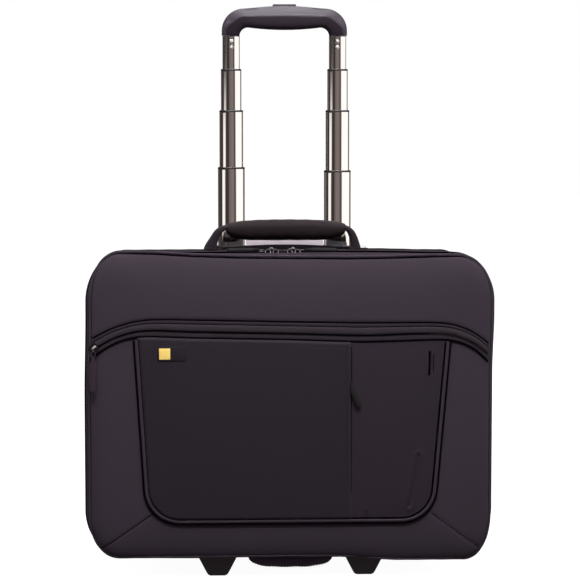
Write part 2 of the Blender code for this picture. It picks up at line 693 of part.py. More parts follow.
def wheel_base():
    """The moulded base: a rear skirt, sockets for the tubes and a housing over each wheel."""
    floor_low, floor_high = BASE_FLOOR_Z
    inner = WHEEL_X - HOUSING_HALF_WIDTH + 0.002
    floor = [(-inner, BASE_FRONT_Y), (inner, BASE_FRONT_Y), (inner, 0.0985), (-inner, 0.0985)]
    base = node("wheel_base", prism(floor, "Z", floor_low, floor_high), "black_plastic", smooth=False)
    skirt = box((-inner, inner), (BACK_PANEL_Y + 0.0007, 0.0985), (floor_low + 0.001, 0.070))
    boolean(base, helper("base_skirt", skirt), "UNION")
    for side, sign in SIDES.items():
        socket = prism(oval(TUBE_HALF_X[0] - TUBE_WALL - 0.0005, TUBE_HALF_Y[0] - TUBE_WALL - 0.0005), "Z",
                       floor_low + 0.001, 0.060)
        boolean(base, helper(f"tube_socket_{side}", socket, (sign * TUBE_X, TUBE_Y, 0)), "UNION")
        middle = sign * WHEEL_X
        shell = prism(housing_outline(), "X", middle - HOUSING_HALF_WIDTH, middle + HOUSING_HALF_WIDTH)
        boolean(base, helper(f"housing_{side}", shell), "UNION")
        well = arc(WHEEL_Y, WHEEL_RADIUS, WELL_RADIUS, 0, 180, 16)
        reach = WHEEL_Y + WELL_RADIUS + 0.02
        well += [(WHEEL_Y - WELL_RADIUS, -0.02), (reach, -0.02), (reach, WHEEL_RADIUS)]
        cutter = prism(well, "X", middle - WELL_HALF_WIDTH, middle + WELL_HALF_WIDTH)
        boolean(base, helper(f"well_{side}", cutter))
        bore = prism(circle(WHEEL_Y, WHEEL_RADIUS, AXLE_RADIUS + GAP, 20), "X", middle - 0.03, middle + 0.03)
        boolean(base, helper(f"axle_bore_{side}", bore))


def turned(profile, steps):
    """A ring turned about the X axis from a closed (x, radius) profile."""
    rings = []
    for k in range(steps):
        turn = 2 * math.pi * k / steps
        c, s = math.cos(turn), math.sin(turn)
        rings.append([Vector((x, radius * c, radius * s)) for x, radius in profile])
    return loft(rings, looped=True)


def wheels():
    """Tyre, hub and axle on each side."""
    w, r = WHEEL_HALF_WIDTH, WHEEL_RADIUS
    tread = [(-w, r - 0.0105), (-w, r - 0.004), (-w + 0.004, r - 0.0006), (0, r),
             (w - 0.004, r - 0.0006), (w, r - 0.004), (w, r - 0.0105)]
    core = r - 0.0108
    hub = [(-w + 0.0005, AXLE_RADIUS + GAP), (-w + 0.0005, 0.0085), (-0.004, 0.0100), (-0.004, core - 0.004),
           (-w + 0.0005, core - 0.002), (-w + 0.0005, core), (w - 0.0005, core), (w - 0.0005, core - 0.002),
           (0.004, core - 0.004), (0.004, 0.0100), (w - 0.0005, 0.0085), (w - 0.0005, AXLE_RADIUS + GAP)]
    tyre_mesh, hub_mesh = turned(tread, 32), turned(hub, 24)
    head = WELL_HALF_WIDTH + 0.004 + GAP
    shank = circle(0, 0, AXLE_RADIUS, 16)
    knob = circle(0, 0, AXLE_RADIUS + 0.002, 16)
    rings = [put(knob, "X", -head - 0.0012), put(knob, "X", -head), put(shank, "X", -head),
             put(shank, "X", head), put(knob, "X", head), put(knob, "X", head + 0.0012)]
    axle_mesh = loft(rings)
    for side, sign in SIDES.items():
        centre = (sign * WHEEL_X, WHEEL_Y, WHEEL_RADIUS)
        axis = joint(f"wheel_{side}", centre)
        tyre = node(f"wheel_tyre_{side}", tyre_mesh, "tyre", centre)
        core_part = node(f"wheel_hub_{side}", hub_mesh, "hub", centre)
        node(f"wheel_axle_{side}", axle_mesh, "steel", centre)
        hang(axis, tyre, core_part)


def feet():
    """Two tapered front feet and the padded grab handle between them."""
    low, high = 0.0, BOTTOM_Z - GAP
    left = [(-FOOT_HALF_TOP, high), (-FOOT_HALF_BOTTOM - 0.0026, low + 0.0042)]
    left += [(-FOOT_HALF_BOTTOM - 0.0010, low + 0.0015), (-FOOT_HALF_BOTTOM + 0.0015, low)]
    outline = left + [(-x, z) for x, z in left[::-1]]
    mesh = prism(outline, "Y", *FOOT_Y)
    for side, sign in SIDES.items():
        node(f"front_foot_{side}", mesh, "black_plastic", (sign * FOOT_X, 0, 0))

    rings = []
    for k in range(13):
        share = -1 + 2 * k / 12
        drop = (1 - abs(share) ** 3.2) ** 0.5 if abs(share) < 1 else 0.0
        low_z = high - 0.004 - (high - 0.004 - BOTTOM_HANDLE_LOW_Z) * drop
        top_z = high - 0.0002
        half = (top_z - low_z) / 2
        section = oval(0.0120, half, steps=14, exponent=2.4)
        x = share * BOTTOM_HANDLE_HALF_X
        rings.append([Vector((x, BOTTOM_HANDLE_Y + u, (top_z + low_z) / 2 + v)) for u, v in section])
    node("bottom_grab_handle", loft(rings), "webbing")


# ---- Carry handle --------------------------------------------------------------------------------


def strap_path(side, margin=0.0):
    """(x, z) along the webbing's outer (side 1) or inner (side -1) face, left end to right end."""
    left = [(-CARRY_BASE_X, top_z(CARRY_Y) + 0.0042), (-0.0857, 0.3790), (-0.0817, 0.3862), (-0.0762, 0.3910)]
    left += [(-0.0680, 0.3935), (-0.0400, 0.3945)]
    points = left + [(-x, z) for x, z in left[::-1]]
    walls = STRAP_HALF_WALLS + STRAP_HALF_WALLS[::-1]
    moved = []
    for k, (x, z) in enumerate(points):
        before, after = points[max(k - 1, 0)], points[min(k + 1, len(points) - 1)]
        along = Vector((after[0] - before[0], after[1] - before[1])).normalized()
        offset = side * (walls[k] + margin)
        moved.append((x - along.y * offset, z + along.x * offset))
    return moved


def strap_mesh(margin=0.0):
    """The webbing loop, grown by a margin on every face."""
    low, high = CARRY_Y - STRAP_HALF_Y - margin, CARRY_Y + STRAP_HALF_Y + margin
    rings = []
    for (xo, zo), (xi, zi) in zip(strap_path(1, margin), strap_path(-1, margin)):
        outer = [Vector((xo, low, zo)), Vector((xo, high, zo))]
        rings.append(outer + [Vector((xi, high, zi)), Vector((xi, low, zi))])
    return loft(rings)


def carry_handle():
    """Webbing loop, the padded grip round it and the sewn base at each end."""
    node("carry_strap", strap_mesh(), "webbing")

    rings = []
    for k in range(13):
        share = -1 + 2 * k / 12
        fat = max(1 - abs(share) ** 4, 0.0) ** 0.5
        height = 0.0042 + 0.0068 * fat
        section = oval(0.0136 + 0.0022 * fat, height, steps=14, exponent=2.2)
        rise = 0.0028 * (1 - abs(share) ** 2)
        x = share * CARRY_PAD_HALF_X
        rings.append([Vector((x, CARRY_Y + u, CARRY_PAD_Z - 0.0012 + rise + v)) for u, v in section])
    pad = node("carry_pad", loft(rings), "smooth_fabric")
    boolean(pad, helper("strap_slot", strap_mesh(GAP)))

    low, high = CARRY_Y - 0.0155, CARRY_Y + 0.0155
    slab = [(low, top_z(low) + GAP), (high, top_z(high) + GAP)]
    slab += [(high, top_z(high) + 0.0019), (low, top_z(low) + 0.0019)]
    base = prism(slab, "X", -0.0100, 0.0100)
    for side, sign in SIDES.items():
        node(f"handle_anchor_{side}", base, "webbing", (sign * CARRY_BASE_X, 0, 0))


def main():
    for thing in list(bpy.data.objects):
        bpy.data.objects.remove(thing, do_unlink=True)
    rear_section()
    lid_hinge = joint("lid_hinge", (0.0, FRONT_Y + 0.0015, BOTTOM_Z + 0.0025))
    face_y = lid(lid_hinge)
    front_pocket(lid_hinge, face_y)
    main_sliders()
    pocket_slider(lid_hinge, face_y)
    side_slider(lid_hinge, face_y)
    fixed_tubes()
    stage_tubes()
    locks()
    grip()
    bezel()
    wheel_base()
    wheels()
    feet()
    carry_handle()


main()
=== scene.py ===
"""Looks of the rolling laptop case: cloth, seams, zips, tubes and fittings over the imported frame."""

import json
import math

import bmesh
import bpy
import numpy as np
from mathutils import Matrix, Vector


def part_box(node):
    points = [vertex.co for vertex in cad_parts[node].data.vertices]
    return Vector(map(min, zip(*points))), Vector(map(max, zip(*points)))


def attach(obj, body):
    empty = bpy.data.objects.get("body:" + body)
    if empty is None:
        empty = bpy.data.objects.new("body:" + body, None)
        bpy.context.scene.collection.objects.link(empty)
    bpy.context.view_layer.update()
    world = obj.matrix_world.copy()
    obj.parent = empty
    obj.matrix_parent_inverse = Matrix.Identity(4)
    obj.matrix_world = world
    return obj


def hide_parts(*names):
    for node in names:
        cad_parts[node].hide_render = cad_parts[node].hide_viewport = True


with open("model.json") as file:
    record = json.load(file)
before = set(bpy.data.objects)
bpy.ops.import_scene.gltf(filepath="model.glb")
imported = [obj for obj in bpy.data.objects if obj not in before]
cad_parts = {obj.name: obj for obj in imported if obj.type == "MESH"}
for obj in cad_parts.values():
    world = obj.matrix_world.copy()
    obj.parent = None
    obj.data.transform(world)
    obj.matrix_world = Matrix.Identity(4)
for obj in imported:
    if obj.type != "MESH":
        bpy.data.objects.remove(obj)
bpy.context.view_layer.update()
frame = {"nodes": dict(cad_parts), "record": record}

# ---- Sizes read from the frame -------------------------------------------------------------------

PANEL_LOW, PANEL_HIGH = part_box("front_panel")
TAPE_LOW, TAPE_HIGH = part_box("front_zip_tape")
REAR_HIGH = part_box("rear_gusset")[1]
BACK_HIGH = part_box("back_panel")[1]
FLAP_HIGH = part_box("pocket_zip_flap")[1]
LEAF_LOW, LEAF_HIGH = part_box("pocket_panel_left")
RIGHT_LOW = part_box("pocket_panel_right")[0]
LABEL_LOW, LABEL_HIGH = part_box("blank_label")
BUTTON_LOW, BUTTON_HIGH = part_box("release_button")
CARRY_LOW, CARRY_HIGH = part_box("carry_pad")

HALF_WIDTH = REAR_HIGH.x
BOTTOM_Z, TOP_Z = TAPE_LOW.z, TAPE_HIGH.z
BAND_END_X = 0.178
FRONT_INSET = HALF_WIDTH - PANEL_HIGH.x
BACK_INSET = HALF_WIDTH - BACK_HIGH.x
FACE_Y = PANEL_LOW.y
EDGE_Y = PANEL_HIGH.y + 0.0035
PARTING_Y = (TAPE_HIGH.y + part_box("rear_zip_tape")[0].y) / 2
BACK_EDGE_Y, BACK_Y = REAR_HIGH.y, BACK_HIGH.y
TUBE_Y = sum(corner.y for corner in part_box("stage_1_tube_right")) / 2
FOLD_X = LEAF_HIGH.x
# The grip's legs end this far above the foot of the upper rivets.
RIVET_TO_LEG = 0.0103
GRIP_LOW_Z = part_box("grip_rivet_left_1")[0].z + RIVET_TO_LEG

# Where the front cloth's rim lies, and how far inside the outline it starts.
RIM_Y = EDGE_Y - 0.0002
PANEL_INSET = FRONT_INSET + 0.0006
BAND_WALL = 0.0035


# ---- Materials -----------------------------------------------------------------------------------


class Nodes:
    """A node tree, built call by call."""

    def __init__(self, owner):
        owner.use_nodes = True
        self.tree = owner.node_tree

    def add(self, kind, **settings):
        made = self.tree.nodes.new(kind)
        for name, value in settings.items():
            setattr(made, name, value)
        return made

    def link(self, source, target):
        self.tree.links.new(source, target)

    def feed(self, value, socket):
        """A number or a colour set on a socket, or another node's output linked to it."""
        if isinstance(value, (int, float)):
            socket.default_value = value
        elif isinstance(value, tuple):
            socket.default_value = (*value, 1.0)
        else:
            self.link(value, socket)

    def math(self, operation, *values):
        made = self.add("ShaderNodeMath", operation=operation)
        for socket, value in zip(made.inputs, values):
            self.feed(value, socket)
        return made.outputs[0]

    def mix(self, factor, a, b):
        made = self.add("ShaderNodeMix", data_type="RGBA")
        self.link(factor, made.inputs["Factor"])
        self.feed(a, made.inputs["A"])
        self.feed(b, made.inputs["B"])
        return made.outputs["Result"]

    def remap(self, value, kind, **limits):
        made = self.add("ShaderNodeMapRange", interpolation_type=kind)
        self.link(value, made.inputs["Value"])
        for name, number in limits.items():
            made.inputs[name.replace("_", " ").title()].default_value = number
        return made.outputs["Result"]


class Graph(Nodes):
    """A material with a Principled shader."""

    def __init__(self, name, colour, roughness, metallic=0.0):
        self.material = bpy.data.materials.new(name)
        super().__init__(self.material)
        self.shader = self.tree.nodes["Principled BSDF"]
        self.base = colour
        self.set("Base Color", (*colour, 1.0))
        self.set("Roughness", roughness)
        self.set("Metallic", metallic)
        self.heights = []

    def set(self, socket, value):
        self.shader.inputs[socket].default_value = value

    def coords(self, source="Object"):
        return self.add("ShaderNodeTexCoord").outputs[source]

    def split(self, vector):
        made = self.add("ShaderNodeSeparateXYZ")
        self.link(vector, made.inputs[0])
        return made.outputs

    def noise(self, vector, scale, detail=3.0):
        made = self.add("ShaderNodeTexNoise")
        self.link(vector, made.inputs["Vector"])
        made.inputs["Scale"].default_value = scale
        made.inputs["Detail"].default_value = detail
        made.inputs["Roughness"].default_value = 0.55
        return made.outputs["Fac"]

    def spread(self, value, low, high):
        """A 0 to 1 value remapped to low..high."""
        return self.remap(value, "LINEAR", to_min=low, to_max=high)

    def wave(self, value, pitch):
        """A 0 to 1 ripple of that pitch in metres."""
        turned = self.math("MULTIPLY", value, 2 * math.pi / pitch)
        rippled = self.math("SINE", turned)
        return self.math("MULTIPLY_ADD", rippled, 0.5, 0.5)

    def tint(self, factor, low, high):
        """Base colour that runs from low times the base to high times it."""
        ends = [tuple(c * times for c in self.base) for times in (low, high)]
        self.link(self.mix(factor, *ends), self.shader.inputs["Base Color"])

    def bump(self, height, distance, strength=1.0):
        made = self.add("ShaderNodeBump")
        made.inputs["Distance"].default_value = distance
        made.inputs["Strength"].default_value = strength
        self.link(height, made.inputs["Height"])
        if self.heights:
            self.link(self.heights[-1], made.inputs["Normal"])
        self.heights.append(made.outputs["Normal"])
        self.link(made.outputs["Normal"], self.shader.inputs["Normal"])

    def roughen(self, factor, low, high):
        self.link(self.spread(factor, low, high), self.shader.inputs["Roughness"])


def cloth_material(name, colour, twill_pitch, thread, sheen=0.25, mottled=0.10, gloss=0.18):
    """Woven cloth in UV metres: threads both ways and, where twill_pitch is set, diagonal wales."""
    graph = Graph(name, colour, 0.82)
    uv = graph.coords("UV")
    u, v, _ = graph.split(uv)
    drift = graph.noise(uv, 35.0, 2.0)
    warp = graph.wave(u, thread)
    weft = graph.wave(v, thread)
    weave = graph.math("MULTIPLY", warp, weft)
    if twill_pitch:
        diagonal = graph.math("MULTIPLY_ADD", u, 0.62, graph.math("MULTIPLY", v, 1.0))
        wobble = graph.math("MULTIPLY_ADD", drift, twill_pitch * 1.6, diagonal)
        wale = graph.wave(wobble, twill_pitch)
        weave = graph.math("MULTIPLY_ADD", wale, 1.4, weave)
    slub = graph.noise(uv, 900.0, 2.0)
    cloud = graph.noise(uv, 12.0, 4.0)
    shade = graph.math("MULTIPLY_ADD", weave, 0.45 if twill_pitch else 0.30, graph.math("MULTIPLY", slub, 0.5))
    shade = graph.math("MULTIPLY_ADD", cloud, 0.5, shade)
    graph.tint(shade, 1.0 - mottled * 1.6, 1.0 + mottled * 1.6)
    graph.bump(weave, 0.00008 if twill_pitch else 0.00010, 0.4)
    graph.bump(slub, 0.00006, 0.4)
    graph.roughen(slub, 0.72, 0.92)
    graph.set("Sheen Weight", sheen)
    graph.set("Sheen Roughness", 0.45)
    graph.set("Sheen Tint", (0.85, 0.78, 0.88, 1.0))
    graph.set("Specular IOR Level", gloss)
    return graph.material


def plastic_material(name, colour, roughness, grain, depth=0.00005, shine=0.5):
    """Moulded plastic with a fine spark grain and slow colour drift."""
    graph = Graph(name, colour, roughness)
    graph.set("Specular IOR Level", shine)
    where = graph.coords()
    fine = graph.noise(where, grain, 2.0)
    slow = graph.noise(where, 45.0, 3.0)
    graph.tint(slow, 0.92, 1.08)
    graph.bump(fine, depth, 0.5)
    graph.roughen(slow, roughness - 0.06, roughness + 0.08)
    return graph.material


def metal_material(name, colour, roughness, brush=None):
    """Metal with a faint brush along one axis, or fine handling marks."""
    graph = Graph(name, colour, roughness, 1.0)
    where = graph.coords()
    mapped = graph.add("ShaderNodeMapping")
    graph.link(where, mapped.inputs["Vector"])
    mapped.inputs["Scale"].default_value = brush or (1.0, 1.0, 1.0)
    marks = graph.noise(mapped.outputs[0], 600.0, 3.0)
    smear = graph.noise(where, 22.0, 4.0)
    graph.tint(smear, 0.96, 1.04)
    graph.bump(marks, 0.00001, 0.25)
    graph.roughen(marks, roughness * 0.75, roughness * 1.3)
    return graph.material


TWILL = cloth_material("twill", (0.0248, 0.0177, 0.0260), 0.0029, 0.0008, sheen=0.05, mottled=0.060)
# The band twill is the front's twill made darker to offset the light from above that falls on the bands: painted shade.
GUSSET_SHADED = cloth_material("gusset_twill_painted_shade", (0.0108, 0.0073, 0.0114), 0.0031, 0.0008, sheen=0.02, mottled=0.055, gloss=0.06)
POCKET = cloth_material("pocket_cloth", (0.0105, 0.0071, 0.0110), None, 0.0009, sheen=0.04, mottled=0.16)
# The right leaf's cloth is the pocket cloth made lighter, for the light that leaf catches: painted light.
POCKET_RIGHT_LIT = cloth_material("pocket_cloth_right_painted_light", (0.0142, 0.0093, 0.0148), None, 0.0009, sheen=0.04, mottled=0.16)
# The grab handle's webbing is made lighter to offset the shade under the case: painted light.
GRAB_CLOTH_LIT = cloth_material("grab_webbing_painted_light", (0.060, 0.041, 0.060), 0.0024, 0.0011, sheen=0.03)
PIPING = cloth_material("piping", (0.0035, 0.0026, 0.0036), None, 0.0009, sheen=0.02)
TAPE = cloth_material("zip_tape", (0.0070, 0.0052, 0.0074), 0.0012, 0.0006, sheen=0.02)
PULL_CLOTH = cloth_material("pull_cord", (0.0215, 0.0130, 0.0200), None, 0.0008, sheen=0.02)
WEBBING = cloth_material("webbing", (0.0080, 0.0050, 0.0076), 0.0024, 0.0011, sheen=0.02)
PAD_CLOTH = cloth_material("pad_cloth", (0.0088, 0.0048, 0.0066), None, 0.0008, sheen=0.02)
LINING = cloth_material("lining", (0.105, 0.100, 0.108), None, 0.0009, sheen=0.2)
THREAD = cloth_material("thread", (0.021, 0.0155, 0.022), None, 0.0004, sheen=0.03)
# Near-black lines that stand in for the shade in seam gaps, along zip edges and in the pocket's slit: painted shade.
SEAM_SHADE = plastic_material("seam_painted_shade", (0.0022, 0.0014, 0.0022), 0.8, 2600.0, shine=0.0)
FLAP_CLOTH = cloth_material("flap_cloth", (0.0150, 0.0108, 0.0150), 0.0014, 0.0006, sheen=0.03)
PATCH = cloth_material("patch_weave", (0.0085, 0.0060, 0.0090), None, 0.0006, sheen=0.03)
LABEL = cloth_material("label_weave", (0.80, 0.57, 0.15), None, 0.0006, sheen=0.1)
TUBE = metal_material("tube_metal", (0.80, 0.76, 0.75), 0.055, brush=(1.0, 1.0, 0.03))
STEEL = metal_material("steel", (0.36, 0.33, 0.33), 0.60)
ZIP_METAL = metal_material("zip_metal", (0.060, 0.054, 0.062), 0.24)
BRACE = metal_material("brace_metal", (0.80, 0.74, 0.80), 0.66, brush=(0.03, 1.0, 1.0))
PLASTIC = plastic_material("black_plastic", (0.0255, 0.0174, 0.0275), 0.42, 2600.0, shine=0.30)
COLLAR = plastic_material("collar_plastic", (0.0060, 0.0042, 0.0060), 0.50, 2600.0, shine=0.2)
SOFT_GRIP = plastic_material("soft_grip", (0.0080, 0.0044, 0.0080), 0.62, 1500.0, 0.00012, shine=0.16)
FOOT = plastic_material("foot_plastic", (0.0150, 0.0100, 0.0146), 0.55, 2000.0, 0.00008, shine=0.28)
TYRE = plastic_material("tyre_rubber", (0.016, 0.016, 0.017), 0.72, 1500.0, 0.0001)
HUB = plastic_material("hub_plastic", (0.14, 0.14, 0.15), 0.45, 2200.0)
COIL = plastic_material("coil_nylon", (0.009, 0.007, 0.009), 0.60, 2600.0, shine=0.15)


# ---- Mesh helpers --------------------------------------------------------------------------------


def finish_mesh(name, verts, faces, material, body, uv=None, node_names=(), slot=None, smooth=True):
    """A mesh object from points and faces. uv gives each vertex its place on the cloth, in metres."""
    mesh = bpy.data.meshes.new(name)
    mesh.from_pydata([tuple(map(float, p)) for p in verts], [], [tuple(map(int, f)) for f in faces])
    mesh.update()
    made = bpy.data.objects.new(name, mesh)
    bpy.context.scene.collection.objects.link(made)
    mesh.materials.append(material)
    if uv is not None:
        layer = mesh.uv_layers.new(name="UVMap")
        corner = np.zeros(len(mesh.loops), dtype=np.int32)
        mesh.loops.foreach_get("vertex_index", corner)
        layer.data.foreach_set("uv", np.asarray(uv, dtype=np.float32)[corner].ravel())
    if smooth:
        mesh.shade_smooth()
        mesh.set_sharp_from_angle(angle=math.radians(50))
    if body:
        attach(made, body)
    if node_names:
        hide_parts(*node_names)
    return made


def grid_faces(rows, columns, wrap_rows=False, wrap_columns=False, flip=False, start=0):
    """Quads over a rows x columns lattice of vertices."""
    faces = []
    for i in range(rows if wrap_rows else rows - 1):
        for j in range(columns if wrap_columns else columns - 1):
            a = i * columns + j
            b = i * columns + (j + 1) % columns
            c = ((i + 1) % rows) * columns + (j + 1) % columns
            d = ((i + 1) % rows) * columns + j
            quad = (a, b, c, d) if not flip else (d, c, b, a)
            faces.append(tuple(start + k for k in quad))
    return faces


def lattice(name, points, material, body, uv=None, wrap_rows=False, wrap_columns=False, caps=False, flip=False, **kw):
    """A mesh over an array of points (rows, columns, 3)."""
    rows, columns, _ = points.shape
    faces = grid_faces(rows, columns, wrap_rows, wrap_columns, flip)
    if caps:
        first = list(range(columns))
        last = [(rows - 1) * columns + j for j in range(columns)]
        faces.append(tuple(first if flip else first[::-1]))
        faces.append(tuple(last[::-1] if flip else last))
    if uv is None:
        uv = lengths_uv(points)
    return finish_mesh(name, points.reshape(-1, 3), faces, material, body, uv=uv.reshape(-1, 2), **kw)


def lengths_uv(points):
    """UVs in metres: distance along the rows and along the columns."""
    along = np.zeros(points.shape[:2])
    across = np.zeros(points.shape[:2])
    along[1:] = np.cumsum(np.linalg.norm(np.diff(points, axis=0), axis=2), axis=0)
    across[:, 1:] = np.cumsum(np.linalg.norm(np.diff(points, axis=1), axis=2), axis=1)
    return np.stack([along.mean(axis=1, keepdims=True) + 0 * along, across], axis=2)


def smooth_step(value, low, high):
    t = np.clip((np.asarray(value, dtype=float) - low) / (high - low), 0.0, 1.0)
    return t * t * (3 - 2 * t)


def flat_uv(points):
    """UVs of upright cloth: its x and z."""
    return np.stack([points[:, :, 0], points[:, :, 2]], axis=2)


def reach_along(points):
    """Distance from the first point at each point of a polyline."""
    return np.concatenate([[0], np.cumsum(np.linalg.norm(np.diff(points, axis=0), axis=1))])


def even(points, count):
    """count points at even steps along a polyline."""
    points = np.asarray(points, dtype=float)
    reach = reach_along(points)
    target = np.linspace(0, reach[-1], count)
    return np.stack([np.interp(target, reach, points[:, k]) for k in range(points.shape[1])], axis=1)


def resample(points, spacing):
    """Points about one spacing apart along a polyline."""
    return even(points, max(int(round(reach_along(points)[-1] / spacing)) + 1, 2))


def softened(line, times):
    """A line with its corners smoothed and its ends held."""
    for _ in range(times):
        line[1:-1] = (line[:-2] + 2 * line[1:-1] + line[2:]) / 4
    return line


def unit(vectors):
    """Each row scaled to length one."""
    return vectors / np.linalg.norm(vectors, axis=1, keepdims=True)


def upright(line, y):
    """An (x, z) line as 3-D points at depth y."""
    return np.stack([line[:, 0], np.broadcast_to(y, len(line)), line[:, 1]], axis=1)


def read_off(x, stations):
    """The value at x from (x, value) stations."""
    stations = np.array(stations)
    return np.interp(x, stations[:, 0], stations[:, 1])


def value_at(values, x, z, px, pz):
    """The value of the lattice point nearest to (px, pz)."""
    return float(values.ravel()[np.argmin(np.hypot(x - px, z - pz))])


def distance_to(x, z, line):
    """Distance of (x, z) points from a polyline."""
    best = np.full(np.shape(x), 1e9)
    for (ax, az), (bx, bz) in zip(line[:-1], line[1:]):
        dx, dz = bx - ax, bz - az
        t = np.clip(((x - ax) * dx + (z - az) * dz) / max(dx * dx + dz * dz, 1e-12), 0, 1)
        best = np.minimum(best, np.hypot(x - ax - t * dx, z - az - t * dz))
    return best


def groove(distance, width, depth):
    """A rounded valley along a line."""
    return depth * np.exp(-((distance / width) ** 2))


def sweep(name, path, profile, material, body, up=(0, -1, 0), closed=False, **kw):
    """A profile of (out, side) points carried along a path. out follows up, side lies across it."""
    path = np.asarray(path, dtype=float)
    count = len(path)
    along = unit(np.roll(path, -1, axis=0) - np.roll(path, 1, axis=0) if closed else np.gradient(path, axis=0))
    fixed = np.tile(np.asarray(up, dtype=float), (count, 1))
    normals = unit(fixed - along * np.sum(fixed * along, axis=1, keepdims=True))
    side = np.cross(along, normals)
    profile = np.asarray(profile, dtype=float)
    if profile.ndim == 2:
        profile = np.tile(profile, (count, 1, 1))
    points = path[:, None, :] + normals[:, None, :] * profile[:, :, 0:1] + side[:, None, :] * profile[:, :, 1:2]
    return lattice(name, points, material, body, wrap_rows=closed, wrap_columns=True, caps=not closed, **kw)


def full_turn(steps):
    return np.linspace(0, 2 * math.pi, steps, endpoint=False)


def round_profile(radius, steps=8):
    turns = full_turn(steps)
    return np.stack([radius * np.cos(turns), radius * np.sin(turns)], axis=1)


def super_profile(half_u, half_v, exponent, steps):
    """A closed curve between an ellipse (exponent 2) and a rounded rectangle (more)."""
    turns = full_turn(steps)
    c, s = np.cos(turns), np.sin(turns)
    u = np.sign(c) * np.abs(c) ** (2 / exponent) * half_u
    v = np.sign(s) * np.abs(s) ** (2 / exponent) * half_v
    return np.stack([u, v], axis=1)


# ---- Case outline --------------------------------------------------------------------------------


# How far the front's top edge rises towards its corners, and how far the whole top sags, as (x, height).
TOP_EDGE_RISE = (
    (-0.2315, 0.0112), (-0.155, 0.0098), (-0.113, 0.0069), (-0.06, 0.0045), (0.0, 0.0032), (0.06, 0.0024),
    (0.113, 0.0036), (0.158, 0.0062), (0.2315, 0.0070),
)
TOP_SAG = (
    (-0.2315, 0.0017), (-0.12, 0.0013), (0.0, 0.0003), (0.05, 0.0), (0.12, 0.0008), (0.16, 0.0020), (0.2315, 0.0022),
)
# Drop of the front's foot on the left and on the right.
FOOT_DROP = (0.0056, 0.0112)
# Half axes (x, z) of the lower and the upper corner on each side: the cloth fills the left ones more.
CORNERS = {-1: ((0.039, 0.050), (0.041, 0.057)), 1: ((0.035, 0.050), (0.047, 0.057))}
# Height of the lower and of the upper corners, the same on both sides.
CORNER_Z = (0.050, 0.057)


def settle(x, z, lift):
    """The soft case's lean and sag: sides out, top edge uneven, front foot lower. lift is 1 on the front."""
    out_left = (0.0011 + 0.0018 * (1 - smooth_step(z, 0.20, 0.31))) * smooth_step(-x, 0.08, 0.20)
    out_right = (0.0016 + 0.0019 * smooth_step(z, 0.23, 0.30)) * smooth_step(x, 0.08, 0.20)
    top = (lift * read_off(x, TOP_EDGE_RISE) - read_off(x, TOP_SAG)) * smooth_step(z, 0.30, 0.355)
    drop = FOOT_DROP[0] + (FOOT_DROP[1] - FOOT_DROP[0]) * smooth_step(x, 0.04, 0.13)
    foot = lift * drop * (1 - smooth_step(z, BOTTOM_Z - 0.02, BOTTOM_Z + 0.085))
    return x - out_left + out_right, z + top - foot


def corner_arc(cx, cz, radius, start, end, steps, radius_z=None):
    """(x, z) points round a centre from one angle to another, in degrees."""
    turns = np.radians(np.linspace(start, end, steps + 1))
    return np.stack([cx + radius * np.cos(turns), cz + (radius_z or radius) * np.sin(turns)], axis=1)


def case_outline(inset, spacing=0.0035, whole=False, lift=0.0):
    """(x, z) points from the lower left, over the top, to the lower right, the same count for any inset."""
    side, low, high = HALF_WIDTH - inset, BOTTOM_Z + inset, TOP_Z - inset
    corner_steps = 22
    start_x = 0.0 if whole else -BAND_END_X
    span_low = int((HALF_WIDTH - 0.05 - abs(start_x)) / spacing) + 1
    span_side = int((TOP_Z - BOTTOM_Z - sum(CORNER_Z)) / spacing)
    span_top = int(2 * (HALF_WIDTH - 0.05) / spacing)

    def straight(a, b, steps):
        t = np.linspace(0, 1, steps + 1)[:, None]
        return np.asarray(a) * (1 - t) + np.asarray(b) * t

    (lx, lz), (tx, tz) = [(a - inset, b - inset) for a, b in CORNERS[-1]]
    (rx, rz), (ux, uz) = [(a - inset, b - inset) for a, b in CORNERS[1]]
    pieces = [
        straight((start_x, low), (-(side - lx), low), span_low)[:-1],
        corner_arc(-(side - lx), low + lz, lx, 270, 180, corner_steps, lz)[:-1],
        straight((-side, low + lz), (-side, high - tz), span_side)[:-1],
        corner_arc(-(side - tx), high - tz, tx, 180, 90, corner_steps, tz)[:-1],
        straight((-(side - tx), high), (side - ux, high), span_top)[:-1],
        corner_arc(side - ux, high - uz, ux, 90, 0, corner_steps, uz)[:-1],
        straight((side, high - uz), (side, low + rz), span_side)[:-1],
        corner_arc(side - rx, low + rz, rx, 0, -90, corner_steps, rz)[:-1],
        straight((side - rx, low), (-start_x, low), span_low),
    ]
    points = np.concatenate(pieces)
    if whole:
        points = points[:-1]
    return np.stack(settle(points[:, 0], points[:, 1], lift), axis=1)


def outline_3d(inset, y, **kw):
    return upright(case_outline(inset, **kw), y)


def closed_edge(inset, lift):
    """A coarse closed (x, z) line round the case."""
    line = case_outline(inset, 0.006, whole=True, lift=lift)
    return np.concatenate([line, line[:1]])


def reach_at(z, inset, side):
    """How far the outline reaches to one side at each height."""
    low, high = BOTTOM_Z + inset, TOP_Z - inset
    (lx, lz), (tx, tz) = [(a - inset, b - inset) for a, b in CORNERS[side]]
    below = np.clip(low + lz - z, 0, lz) / lz
    above = np.clip(z - (high - tz), 0, tz) / tz
    cut = np.where(above > 0, tx * (1 - np.sqrt(1 - above**2)), lx * (1 - np.sqrt(1 - below**2)))
    return HALF_WIDTH - inset - cut


